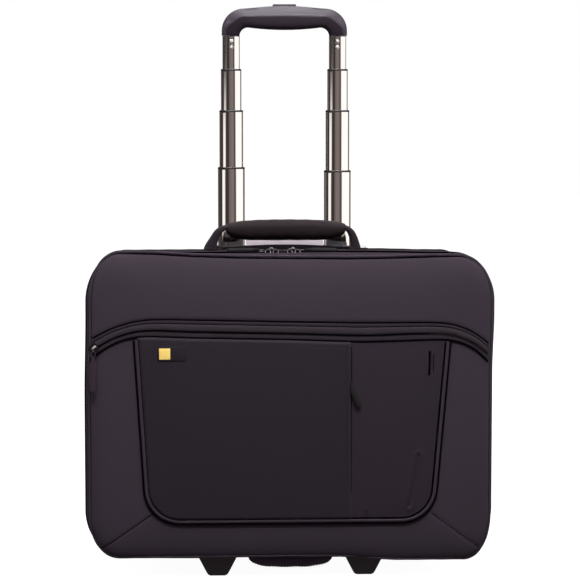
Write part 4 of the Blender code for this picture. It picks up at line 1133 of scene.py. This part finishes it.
def grip_station(share):
    """Centre line data at a share from -1 (left leg) to 1 (right leg): outer, inner, half depth, facet."""
    leg_z = GRIP_LOW_Z
    corner_x, corner_z, outer_radius = 0.0485, leg_z + 0.006, 0.0262
    inner_x, inner_z, inner_radius = 0.0432, leg_z - 0.0006, 0.0105
    side = -1 if share < 0 else 1
    far = abs(share)
    if far > BEND_END:
        t = (far - BEND_END) / 0.18
        outer = (corner_x + outer_radius, corner_z - (corner_z - leg_z) * t)
        inner = (inner_x + inner_radius, inner_z + (leg_z - inner_z) * t)
        depth, facet = 0.0072 - 0.0006 * t, 0.0
    elif far > BEND_START:
        t = (far - BEND_START) / 0.36
        turn = math.pi / 2 * (1 - t)
        outer = (corner_x + outer_radius * math.cos(turn), corner_z + outer_radius * math.sin(turn))
        inner = (inner_x + inner_radius * math.cos(turn), inner_z + inner_radius * math.sin(turn))
        depth, facet = 0.0112 - 0.0040 * t, 1.0 - float(smooth_step(t, 0.50, 0.98))
    else:
        t = far / BEND_START
        bow = 1 - t**2
        outer = (corner_x * t, corner_z + outer_radius + 0.0031 * bow**1.4)
        inner = (inner_x * t, inner_z + inner_radius - 0.0028 * bow)
        depth, facet = 0.0112 + 0.0018 * bow, 1.0
    return (side * outer[0], outer[1]), (side * inner[0], inner[1]), depth, facet


def facet_edge(facet):
    """How far up the grip's face the sloping facet starts, as a section coordinate."""
    return 1.0 - 0.60 * facet - 0.10


def grip_section(facet):
    """Half-section (u, v share) up the front of the grip: rounded foot, upright face, sloping facet, flat top."""
    edge = facet_edge(facet)
    return [(-1.0, 0.0), (-0.995, 0.35), (-0.965, 0.62), (-0.90, 0.82), (-0.78, 0.95), (-0.60, 1.0), (-0.30, 1.0),
            (0.0, 0.99), (edge - 0.06, 0.965), (edge, 0.94), (edge + 0.05, 0.90 - 0.02 * facet),
            (edge + (1 - edge) * 0.6, 0.80 - 0.14 * facet), (0.975, 0.66 - 0.14 * facet), (1.0, 0.50 - 0.1 * facet),
            (1.0, 0.0)]


def sleeve_section(half, facet, fade):
    """The half-section of the soft sleeve: the grip's, cut off under the facet and standing a little proud."""
    edge = facet_edge(facet)
    half = [(max(u, -1.0) if u < edge - 0.08 else edge - 0.08, v) for u, v in half if u < edge + 0.02]
    top = half[-1][0]
    proud_by = [(0.002 + 0.014 * fade) * float(smooth_step(top - u, -0.02, 0.16)) for u, v in half]
    half = [(u * (1 + 0.012 * fade), v + (p - 0.006) * (v > 0.3)) for (u, v), p in zip(half, proud_by)]
    return half + [(top - 0.02, 0.55)]


# The rivet heads clear the collar below them when the first tube is pushed in.
RIVET_RISE = 0.0012


def grip():
    """Moulded upper shell with its sloping facet, textured pad, button and rivet heads."""
    for name, reach, count, material, slot, node_name in (
        ("grip_moulding", 1.0, 150, PLASTIC, "black_plastic", "grip_shell"),
        ("grip_sleeve", 0.985, 110, SOFT_GRIP, "soft_grip", "grip_pad"),
    ):
        rows = []
        for share in np.linspace(-reach, reach, count):
            (ox, oz), (ix, iz), depth, facet = grip_station(share)
            half = grip_section(facet)
            if slot == "soft_grip":
                half = sleeve_section(half, facet, float(smooth_step(reach - abs(share), 0.0, 0.02)))
            section = half + [(u, -v) for u, v in half[::-1][(0 if half[-1][1] else 1):-1]]
            rows.append([((ox + ix) / 2 + (ox - ix) / 2 * u, TUBE_Y + depth * v, (oz + iz) / 2 + (oz - iz) / 2 * u)
                         for u, v in section])
        lattice(name, np.array(rows), material, "handle", wrap_columns=True, caps=True, node_names=[node_name],
                slot=slot)
    button_cap((-0.0138, BUTTON_LOW.y, BUTTON_HIGH.z - 0.009), (0.0138, BUTTON_HIGH.y, BUTTON_HIGH.z), 0.0011)
    for side in ("left", "right"):
        for number in (1, 2):
            a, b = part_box(f"grip_rivet_{side}_{number}")
            centre = (a + b) / 2 + Vector((0.0, 0.0, RIVET_RISE))
            radius = (b.x - a.x) / 2
            rows = []
            for r, out in ((radius, 0.0), (radius, 0.0003), (radius * 0.86, 0.0009), (radius * 0.55, 0.0012),
                           (radius * 0.02, 0.0013)):
                turns = full_turn(28)
                rows.append(np.stack([centre.x + r * np.cos(turns), np.full(28, a.y + 0.0012 - out),
                                      centre.z + r * np.sin(turns)], axis=1))
            lattice(f"rivet_head_{side}_{number}", np.stack(rows), STEEL, "handle", wrap_columns=True, caps=True,
                    node_names=[f"grip_rivet_{side}_{number}"], slot="steel")


def button_cap(low, high, radius):
    """The release button: a box with rolled edges."""
    mesh = bmesh.new()
    bmesh.ops.create_cube(mesh, size=1.0)
    for vert in mesh.verts:
        vert.co = Vector([(a + b) / 2 + c * (b - a) for a, b, c in zip(low, high, vert.co)])
    bmesh.ops.bevel(mesh, geom=mesh.edges[:], offset=radius, segments=4, profile=0.5, affect="EDGES")
    verts = [tuple(v.co) for v in mesh.verts]
    mesh.verts.ensure_lookup_table()
    faces = [[v.index for v in f.verts] for f in mesh.faces]
    mesh.free()
    finish_mesh("button_cap", verts, faces, PLASTIC, "button", uv=[(v[0], v[2]) for v in verts],
                node_names=["release_button"], slot="black_plastic")


RING_WIRE = 0.00055


def wire_ring(name, centre, axis, radius, body, stretch=1.0, long_axis=None):
    """A wire ring, stretched along one direction where asked."""
    axis = Vector(axis).normalized()
    u = Vector(long_axis).normalized() if long_axis else axis.orthogonal().normalized()
    v = axis.cross(u)
    path = [tuple(Vector(centre) + u * radius * stretch * math.cos(t) + v * radius * math.sin(t))
            for t in full_turn(28)]
    sweep(name, path, round_profile(RING_WIRE), ZIP_METAL, body, up=tuple(axis), closed=True, slot="zip_metal")


def slider_hardware(name, long_axis, out_axis, shift=(0.0, 0.0, 0.0)):
    """A zip slider, which has its node's and its body's name: a rounded wing plate with a raised bridge over it."""
    low, high = (Vector(corner) + Vector(shift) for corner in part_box(name))
    wing = solid_copy(name, ZIP_METAL, name, 0.0006, 3, name=f"{name}_wing")
    for vert in wing.data.vertices:
        vert.co += Vector(shift)
    centre = (low + high) / 2
    out, along = Vector(out_axis), Vector(long_axis)
    reach = abs(Vector([h - l for l, h in zip(low, high)]).dot(along))
    top = max(out.dot(low), out.dot(high))
    base = centre + out * (top - out.dot(centre))
    path = [base + along * reach * 0.16 * t + out * (0.0016 * (1 - t**4) - 0.0003) for t in np.linspace(-1, 1, 13)]
    profile = super_profile(0.0005, 0.0010, 3, 10)
    sweep(f"{name}_bridge", [tuple(p) for p in path], profile, STEEL, name, up=tuple(out), slot="steel")


def zipper_pull(name, hinge, far, out_axis, width, material, plump=0.0012):
    """A ring and a moulded cord pull from the hinge point towards far. Node and body have the pull's name."""
    hinge, far, out = Vector(hinge), Vector(far), Vector(out_axis).normalized()
    along = (far - hinge).normalized()
    length = (far - hinge).length
    side = out.cross(along)
    wire_ring(f"{name}_ring", hinge + along * 0.0030 + out * 0.0009, out, 0.0026, name, stretch=1.35,
              long_axis=tuple(along))
    rows = []
    for t in np.linspace(0, 1, 34):
        reach = 0.0050 + (length - 0.0050) * t
        wide = width / 2 * (0.46 + 0.54 * float(smooth_step(t, 0.10, 0.28)))
        wide *= math.sqrt(max(1 - max((t - 0.93) / 0.07, 0.0) ** 2, 0.02)) if t > 0.93 else 1.0
        wide *= math.sqrt(max(1 - max((0.04 - t) / 0.04, 0.0) ** 2, 0.05)) if t < 0.04 else 1.0
        thick = plump + 0.0003 * math.sin(math.pi * t)
        centre = hinge + along * reach + out * (plump + 0.0001)
        ring = super_profile(thick, wide, 3.0, 22)
        rows.append([tuple(centre + out * float(a) + side * float(b)) for a, b in ring])
    lattice(f"{name}_tab", np.array(rows), material, name, wrap_columns=True, caps=True, node_names=[name],
            slot="webbing")


# How far the visible sliders stand from their CAD nodes.
MAIN_SLIDER_SHIFT = (0.0, 0.0, -0.0012)
POCKET_SLIDER_SHIFT = (-0.0010, 0.0, 0.0068)


def zip_hardware():
    """All sliders and their pulls."""
    for side, sign in (("left", -1), ("right", 1)):
        slider = f"main_slider_{side}"
        slider_hardware(slider, (1, 0, 0), (0, 0, 1), MAIN_SLIDER_SHIFT)
        low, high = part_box(f"main_pull_{side}")
        near = high.x - 0.0015 if sign < 0 else low.x + 0.0015
        far = low.x if sign < 0 else high.x
        y = (low.y + high.y) / 2 - 0.0020
        zipper_pull(f"main_pull_{side}", (near, y, low.z - 0.0012), (far, y - 0.0010, low.z - 0.0016),
                    (0, -0.35, 0.94), high.y - low.y, PIPING, plump=0.0018)
        low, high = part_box(slider)
        for place, share in (("near", -0.32), ("far", 0.42)):
            centre = ((low.x + high.x) / 2 + share * (high.x - low.x), low.y - 0.0022, high.z - 0.0044)
            wire_ring(f"main_loop_{side}_{place}", centre, (0.25 * sign, -0.8, 0.5), 0.0030, slider)
    slider_hardware("pocket_slider", (-0.743, 0, -0.669), (0, -1, 0), POCKET_SLIDER_SHIFT)
    low, high = (Vector(corner) + Vector(POCKET_SLIDER_SHIFT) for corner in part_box("pocket_pull"))
    middle = (low.x + high.x) / 2
    zipper_pull("pocket_pull", (middle, high.y, high.z - 0.0015), (middle - 0.0012, high.y, low.z), (0, -1, 0), 0.0074,
                PULL_CLOTH)
    slider_hardware("side_slider", (0, 0, 1), (0, -1, 0))
    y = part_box("side_pull")[1].y - 0.0022
    zipper_pull("side_pull", (0.0645, y, 0.2262), (0.0765, y, 0.1985), (0, -1, 0), 0.0060, PIPING)


# The end rings of the padded grips stop just short of closing to a point.
END_SHARE = 0.995
CARRY_FULLNESS, GRAB_FULLNESS = 4.5, 3.2


def end_fade(share, exponent):
    """1 in the middle of a padded grip and 0 at its ends, over a share of its half length."""
    return math.sqrt(max(1 - share**exponent, 0.0))


def strap_ribbon(name, centre_line, walls, half_width, material, body, y, skew, **kw):
    """Webbing seen edge-on, along an (x, z) line with its half thickness at each point.
    skew(share) leans the rear edge sideways at each share of the length."""
    line = np.array(centre_line)
    count = 90
    reach = reach_along(line)
    wall = np.interp(np.linspace(0, reach[-1], count), reach, walls)
    fine = softened(even(line, count), 6)
    way = unit(np.gradient(fine, axis=0))
    rows = []
    for n, ((x, z), (dx, dz), half) in enumerate(zip(fine, way, wall)):
        ring = super_profile(half, half_width, 4.0, 36)
        lean = skew(n / (count - 1)) / (2 * half_width)
        rows.append([(x - dz * a + lean * (b + half_width), y + b, z + dx * a) for a, b in ring])
    return lattice(name, np.array(rows), material, body, wrap_columns=True, caps=True, **kw)


def carry_handle():
    """The padded carry grip, its webbing and the sewn bases."""
    y = (CARRY_LOW.y + CARRY_HIGH.y) / 2
    half = CARRY_HIGH.x
    base_x = (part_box("handle_anchor_right")[0].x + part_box("handle_anchor_right")[1].x) / 2
    base_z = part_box("carry_strap")[0].z
    rows = []
    for t in np.linspace(-1, 1, 110):
        x = half * math.sin(t * math.pi / 2) * END_SHARE
        share = abs(x) / half
        fat = end_fade(share, CARRY_FULLNESS)
        up, down = 0.0040 + 0.0042 * fat, 0.0012 + 0.0150 * fat**0.9
        deep = 0.0100 + 0.0058 * fat
        z = CARRY_LOW.z + 0.0110 + 0.0022 * (1 - share**2)
        ring = []
        for k in range(48):
            turn = 2 * math.pi * k / 48
            c, s = math.cos(turn), math.sin(turn)
            u = math.copysign(abs(c) ** 0.85, c) * deep
            v = math.copysign(abs(s) ** 0.85, s)
            wrinkle = 0.00025 * math.sin(x * 330 + 3 * s) * fat * (0.4 + 0.6 * abs(c))
            pinch = 0.0007 * math.exp(-((turn - 4.45) / 0.09) ** 2) * fat
            ring.append((x, y + u * (1 + wrinkle * 12), z + v * (up if v > 0 else down) - wrinkle + pinch))
        rows.append(ring)
    pad = lattice("carry_grip", np.array(rows), PAD_CLOTH, "case", wrap_columns=True, caps=True,
                  node_names=["carry_pad"], slot="smooth_fabric")
    pad.visible_glossy = False
    seam = [(x, y - 0.0042, CARRY_LOW.z - 0.0030 + 0.0034 * (x / half) ** 2)
            for x in np.linspace(-half * 0.86, half * 0.86, 60)]
    stitches("carry_grip_seam", np.array(seam), "case", face=(0, -0.5, -0.86))

    anchor_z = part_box("handle_anchor_right")[0].z + 0.0002
    left = [(-base_x, anchor_z), (-base_x, base_z), (-base_x + 0.0008, base_z + 0.004), (-0.0817, 0.3862),
            (-0.0762, 0.3910), (-0.0680, 0.3935), (-0.0400, 0.3945)]
    walls = [0.0062, 0.0058, 0.0051, 0.0041, 0.0032, 0.0024, 0.0020]
    line = left + [(-x - 0.0034 * float(smooth_step(-x, 0.06, 0.085)), z) for x, z in left[::-1]]
    ribbon = strap_ribbon("carry_webbing", line, walls + walls[::-1], 0.0125, WEBBING, "case", y,
                          lambda share: -0.0060 * math.exp(-((share / 0.06) ** 2)), node_names=["carry_strap"],
                          slot="webbing")
    ribbon.visible_glossy = False
    for side in ("left", "right"):
        low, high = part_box(f"handle_anchor_{side}")
        solid_copy(f"handle_anchor_{side}", WEBBING, "case", 0.0007, 3)
        x, z = (low.x + high.x) / 2, high.z + 0.0002
        ring = [(x - 0.008, low.y + 0.002, z - 0.0006), (x + 0.008, low.y + 0.002, z - 0.0006),
                (x + 0.008, high.y - 0.002, z), (x - 0.008, high.y - 0.002, z), (x - 0.008, low.y + 0.002, z - 0.0006)]
        stitches(f"anchor_stitches_{side}", np.array(ring), "case", face=(0, 0, 1))


# The visible front feet are this much wider than their CAD nodes, and stand a little to the right.
FOOT_WIDENING, FOOT_SHIFT = 1.10, 0.0006
TYRE_SHOULDER = 0.0035


def base_and_wheels():
    """Moulded base, handle bezel, tube brace, tyres, hubs, feet and the grab handle under the front."""
    solid_copy("wheel_base", PLASTIC, "case", 0.0008, 3)
    solid_copy("handle_bezel", PLASTIC, "case", 0.0005, 2)
    solid_copy("tube_brace", BRACE, "case", 0.0004, 2)
    for side in ("left", "right"):
        foot = solid_copy(f"front_foot_{side}", FOOT, "case", 0.0028, 5)
        low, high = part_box(f"front_foot_{side}")
        middle = (low.x + high.x) / 2
        for vert in foot.data.vertices:
            vert.co.x = middle + (vert.co.x - middle) * FOOT_WIDENING + FOOT_SHIFT
        solid_copy(f"wheel_hub_{side}", HUB, f"wheel_{side}", 0.0004, 2)
        low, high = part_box(f"wheel_tyre_{side}")
        centre, radius, half = (low + high) / 2, (high.z - low.z) / 2, (high.x - low.x) / 2
        inner = (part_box(f"wheel_hub_{side}")[1].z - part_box(f"wheel_hub_{side}")[0].z) / 2 + 0.0002
        outer = [(half, inner + 0.002), (half, radius - TYRE_SHOULDER)]
        outer += [(half - TYRE_SHOULDER + TYRE_SHOULDER * math.cos(t),
                   radius - TYRE_SHOULDER + TYRE_SHOULDER * math.sin(t)) for t in np.linspace(0.2, math.pi / 2, 6)]
        for groove_x in (0.0045, 0.0, -0.0045):
            outer += [(groove_x + 0.0008, radius), (groove_x + 0.0005, radius - 0.0009),
                      (groove_x - 0.0005, radius - 0.0009), (groove_x - 0.0008, radius)]
        outer += [(-u, r) for u, r in outer[:8][::-1]]
        outer += [(-half + 0.001, inner), (half - 0.001, inner)]
        rows = []
        for turn in full_turn(96):
            c, s = math.cos(turn), math.sin(turn)
            rows.append([(centre.x + u, centre.y + r * c, centre.z + r * s) for u, r in outer])
        lattice(f"tyre_{side}", np.array(rows), TYRE, f"wheel_{side}", wrap_rows=True, wrap_columns=True, flip=True,
                node_names=[f"wheel_tyre_{side}"], slot="tyre")
    low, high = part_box("bottom_grab_handle")
    y = (low.y + high.y) / 2
    rows = []
    for t in np.linspace(-1, 1, 80):
        x = high.x * math.sin(t * math.pi / 2) * END_SHARE
        bottom = high.z - 0.004 - (high.z - 0.004 - low.z) * end_fade(abs(x) / high.x, GRAB_FULLNESS)
        ring = super_profile(0.0119, (high.z - bottom) / 2, 2.4, 40)
        ripple = 0.0002 * math.sin(x * 260)
        rows.append([(x, y + a, (high.z + bottom) / 2 + b + ripple * (1 if b < 0 else 0)) for a, b in ring])
    # The grab handle uses the lightened webbing: painted light.
    grab = lattice("grab_handle", np.array(rows), GRAB_CLOTH_LIT, "case", wrap_columns=True, caps=True,
                   node_names=["bottom_grab_handle"], slot="webbing")
    for offset in (-0.0085, 0.0085):
        line = []
        for x in np.linspace(-high.x * 0.9, high.x * 0.9, 50):
            drop = end_fade(abs(x) / high.x, GRAB_FULLNESS)
            line.append((x, y + offset, high.z - 0.0035 - (high.z - 0.0045 - low.z) * drop))
        stitches(f"grab_handle_stitches_{'front' if offset < 0 else 'back'}", np.array(line), "case", face=(0, 0, -1))


# ---- Back, bottom and inside ---------------------------------------------------------------------


def back_cloth():
    """The back panel's cloth with rolled edges and two upright seams over the tubes."""
    inset = BACK_INSET + 0.0006
    x, z = settle(*panel_lattice(inset, 220, 26, 0.0022), 0.0)
    border = distance_to(x, z, closed_edge(inset, 0.0))
    t = np.clip(border / 0.010, 0, 1)
    reach = BACK_Y - BACK_EDGE_Y - 0.0004
    out = reach * np.sqrt(1 - (1 - t) ** 2)
    for seam_x in (-0.1, 0.1):
        out -= groove(distance_to(x, z, np.array([(seam_x, TOP_Z - 0.012), (seam_x, 0.078)])), 0.0015, 0.0010)
    out -= groove(distance_to(x, z, np.array([(-0.2, 0.078), (0.2, 0.078)])), 0.0015, 0.0010)
    drift = np.sin(x * 31 + 1.2) * np.sin(z * 27 + 0.4) * 0.0007 + np.sin(x * 73) * np.sin(z * 61 + 2) * 0.0002
    out += drift * smooth_step(border, 0.002, 0.02)
    out = np.minimum(out, reach)
    points = np.stack([x, BACK_EDGE_Y + 0.0002 + out, z], axis=2)
    made = lattice("back_cloth", points, TWILL, "case", uv=flat_uv(points), flip=True, node_names=["back_panel"],
                   slot="twill")


def bottom_cloth():
    """The bottom panel under the case, between its front piping and the base."""
    low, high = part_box("bottom_panel")
    x = np.linspace(-BAND_END_X - 0.003, BAND_END_X + 0.003, 160)
    stations = []
    for y in np.linspace(low.y + 0.0003, high.y - 0.0003, 60):
        stations.append((y, low.z + 0.0004 - 0.0003 * math.sin(40 * y)))
    rows = [np.stack([x, np.full_like(x, y), z + 0.0003 * np.sin(x * 45 + y * 30)], axis=1) for y, z in stations]
    rows += [np.stack([x, np.full_like(x, y), np.full_like(x, high.z - 0.0003)], axis=1) for y, z in stations[::-6]]
    # The bottom uses the darkened twill: painted shade.
    lattice("bottom_cloth", np.stack(rows), GUSSET_SHADED, "case", wrap_rows=True, flip=True, node_names=["bottom_panel"],
            slot="twill")


def inside():
    """Padded laptop sleeve, the cover over the tubes and the light lining."""
    for name, node_name, level in (("tube_cover", "tube_cover_panel", 0.0), ("sleeve", "laptop_sleeve", 0.0012)):
        low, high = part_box(node_name)
        columns, rows = 150, 110
        u, v = np.meshgrid(np.linspace(-1, 1, columns), np.linspace(-1, 1, rows))
        half_x, half_z = (high.x - low.x) / 2 - 0.0008, (high.z - low.z) / 2 - 0.0008
        corner = 0.045
        middle_x, middle_z = (low.x + high.x) / 2, (low.z + high.z) / 2
        x = middle_x + u * half_x
        z = middle_z + v * half_z
        cut = np.clip(np.abs(v) * half_z - (half_z - corner), 0, corner)
        squeeze = 1 - (corner - np.sqrt(np.maximum(corner**2 - cut**2, 0))) / half_x
        x = middle_x + (x - middle_x) * squeeze
        edge = np.minimum(half_z - np.abs(v) * half_z, (1 - np.abs(u)) * half_x)
        out = 0.0010 + level + (high.y - low.y - 0.0016 - level) * smooth_step(edge, 0.0, 0.012)
        if node_name == "laptop_sleeve":
            for line in (-0.045, 0.045):
                out -= groove(np.abs(z - middle_z - line), 0.0018, 0.0014)
        front = np.stack([x, high.y - 0.0004 - out, z], axis=2)
        back = np.stack([x, np.full_like(x, high.y - 0.0004), z], axis=2)
        verts = np.concatenate([front.reshape(-1, 3), back.reshape(-1, 3)])
        count = rows * columns
        faces = grid_faces(rows, columns) + grid_faces(rows, columns, flip=True, start=count)
        loop = list(range(columns)) + [r * columns + columns - 1 for r in range(1, rows)]
        loop += [(rows - 1) * columns + c for c in range(columns - 2, -1, -1)]
        loop += [r * columns for r in range(rows - 2, 0, -1)]
        faces += [(loop[k], loop[k - 1], loop[k - 1] + count, loop[k] + count) for k in range(len(loop))]
        uv = np.tile(np.stack([x.ravel(), z.ravel()], axis=1), (2, 1))
        material = LINING if node_name == "tube_cover_panel" else PAD_CLOTH
        made = finish_mesh(f"{name}_cloth", verts, faces, material, "case", uv=uv, node_names=[node_name],
                           slot="lining")
        rim = np.array([(verts[k][0], verts[k][1] - 0.0002, verts[k][2]) for k in loop[::3]])
        sweep(f"{name}_binding", rim, round_profile(0.0014), PIPING, "case", closed=True, slot="twill")
    for name, body, front, back, lean in (
        ("lid_lining", "lid", EDGE_Y + 0.001, TAPE_LOW.y - 0.001, (FRONT_INSET, 0.0006)),
        ("case_lining", "case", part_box("rear_zip_tape")[1].y + 0.0012, 0.0530, (0.0, BACK_INSET)),
    ):
        stations = [(y, 0.0048 + lean[0] + (lean[1] - lean[0]) * t, 0.0)
                    for t, y in zip(np.linspace(0, 1, 6), np.linspace(front, back, 6))]
        stations += [(y, inset + 0.0004, lift) for y, inset, lift in stations[::-1]]
        band_cloth(name, stations, LINING, body, slot="lining")


# ---- Camera, floor and light ---------------------------------------------------------------------


# What polished metal reflects: brightness at each azimuth round the set, in degrees.
STRIPS = (
    (-180, 0.16), (-110, 0.08), (-50, 0.04), (-44, 1.25), (-26, 1.25), (-22, 0.10), (-17, 0.05), (-7, 0.05),
    (-4, 0.17), (4, 0.26), (7, 0.20), (10, 0.08), (14, 0.10), (18, 1.35), (88, 1.35), (100, 0.20), (180, 0.16),
)
LEFT_STRIP = (-50, -22)


def studio_world():
    """Plain white backdrop, dim even light, and tall light strips round the set that polished metal shows."""
    world = bpy.data.worlds.new("studio")
    bpy.context.scene.world = world
    graph = Nodes(world)

    def ranged(value, low, high, to_low=0.0, to_high=1.0):
        return graph.remap(value, "SMOOTHSTEP", from_min=low, from_max=high, to_min=to_low, to_max=to_high)

    split = graph.add("ShaderNodeSeparateXYZ")
    graph.link(graph.add("ShaderNodeTexCoord").outputs["Generated"], split.inputs[0])
    x, y, z = split.outputs
    azimuth = graph.math("ARCTAN2", x, graph.math("MULTIPLY", y, -1.0))
    ramp = graph.add("ShaderNodeValToRGB")
    graph.link(graph.math("MULTIPLY_ADD", azimuth, 1 / (2 * math.pi), 0.5), ramp.inputs["Fac"])
    while len(ramp.color_ramp.elements) < len(STRIPS):
        ramp.color_ramp.elements.new(0.5)
    for element, (degrees, value) in zip(ramp.color_ramp.elements, STRIPS):
        element.position = (degrees + 180) / 360
        warm = (1.0, 0.97, 0.93) if value > 1 else (1.0, 0.84, 0.80)
        element.color = (*[value * c for c in warm], 1.0)
    start, end = LEFT_STRIP
    left = graph.math("MULTIPLY", ranged(azimuth, math.radians(start), math.radians(start + 3)),
                      ranged(azimuth, math.radians(end - 3), math.radians(end), 1.0, 0.0))
    dimmed = graph.math("MULTIPLY", left, ranged(z, -0.022, 0.014))
    strips = graph.mix(dimmed, ramp.outputs["Color"], (0.05, 0.042, 0.04))
    strips = graph.mix(ranged(z, 0.55, 0.75), strips, (1.1, 1.08, 1.08))
    ambient = graph.mix(ranged(z, -0.15, 0.15), (0.04, 0.037, 0.04), (0.15, 0.142, 0.15))
    path = graph.add("ShaderNodeLightPath")
    lit = graph.mix(path.outputs["Is Glossy Ray"], ambient, strips)
    shown = graph.mix(path.outputs["Is Camera Ray"], lit, (1.0, 1.0, 1.0))
    graph.link(shown, graph.tree.nodes["Background"].inputs["Color"])


# Soft boxes: name, place, target, width, height, watts, spread in degrees, whether polished metal shows it.
LAMPS = (
    ("key_box", (0.05, -0.95, 1.55), (0, -0.10, 0.52), 1.2, 0.5, 10.5, 80, True),
    ("top_box", (0.0, -0.42, 2.1), (0, 0.0, 0.6), 1.2, 0.7, 10, 120, True),
    ("front_box", (-0.5, -2.6, 0.9), (0, -0.10, 0.25), 1.6, 1.0, 4.0, 180, False),
    ("rear_box", (0.5, 2.4, 1.3), (0, 0.1, 0.25), 1.6, 1.2, 52, 180, False),
    ("left_box", (-2.5, 0.45, 1.0), (0, 0.05, 0.2), 1.4, 1.4, 30, 180, False),
    ("right_box", (2.5, 0.45, 1.0), (0, 0.05, 0.2), 1.4, 1.4, 30, 180, False),
)


def lamp(name, place, target, width, height, power, spread, glossy):
    """A soft box. One that is not glossy leaves no image of itself in polished metal."""
    light = bpy.data.lights.new(name, "AREA")
    light.shape = "RECTANGLE"
    light.size, light.size_y, light.energy = width, height, power
    light.spread = math.radians(spread)
    made = bpy.data.objects.new(name, light)
    made.location = place
    made.rotation_euler = (Vector(target) - Vector(place)).to_track_quat("-Z", "Y").to_euler()
    made.visible_glossy = glossy
    bpy.context.scene.collection.objects.link(made)


FLOOR_SIZE, FLOOR_GLOW = 9.0, 0.965
CAMERA_AZIMUTH, CAMERA_ELEVATION, CAMERA_DISTANCE = math.radians(-2.6), math.radians(5.0), 2.6
CAMERA_TARGET = Vector((-0.0011, -0.10, 0.3295))
CAMERA_LENS, CAMERA_SENSOR = 142.8, 36.0


def stage():
    """A pale floor, a soft studio and the camera."""
    scene = bpy.context.scene
    scene.view_settings.view_transform = "Standard"
    ground = Graph("floor", (0.14, 0.14, 0.14), 0.9)
    ground.set("Emission Color", (1.0, 1.0, 1.0, 1.0))
    ground.set("Emission Strength", FLOOR_GLOW)
    size = FLOOR_SIZE
    floor = finish_mesh("floor", [(-size, -size, 0), (size, -size, 0), (size, size, 0), (-size, size, 0)],
                        [(0, 1, 2, 3)], ground.material, None)
    floor.visible_diffuse = False
    floor.visible_glossy = False
    studio_world()
    for settings in LAMPS:
        lamp(*settings)

    level = math.cos(CAMERA_ELEVATION)
    back = Vector((math.sin(CAMERA_AZIMUTH) * level, -math.cos(CAMERA_AZIMUTH) * level, math.sin(CAMERA_ELEVATION)))
    camera = bpy.data.cameras.new("camera")
    camera.sensor_width = CAMERA_SENSOR
    camera.lens = CAMERA_LENS
    holder = bpy.data.objects.new("camera", camera)
    holder.location = CAMERA_TARGET + back * CAMERA_DISTANCE
    holder.rotation_euler = (-back).to_track_quat("-Z", "Y").to_euler()
    scene.collection.objects.link(holder)
    scene.camera = holder


def paint_nodes():
    """Finishes for the CAD nodes that stay in view."""
    palette = {"twill": TWILL, "smooth_fabric": PAD_CLOTH, "webbing": WEBBING, "lining": LINING, "zip_tape": TAPE,
               "zip_metal": ZIP_METAL, "tube_metal": TUBE, "steel": STEEL, "brace_metal": BRACE,
               "black_plastic": PLASTIC, "soft_grip": SOFT_GRIP, "tyre": TYRE, "hub": HUB, "label": LABEL}
    slots = {entry["node"]: entry["material_slot"] for entry in frame["record"]["subparts"]}
    for name, made in frame["nodes"].items():
        made.data.materials.clear()
        made.data.materials.append(palette[slots[name]])


paint_nodes()
stage()
front_cloth()
zip_flap()
front_label(pocket_leaves())
front_band()
rear_band()
main_zip()
zip_hardware()
tubes()
grip()
carry_handle()
base_and_wheels()
back_cloth()
bottom_cloth()
inside()
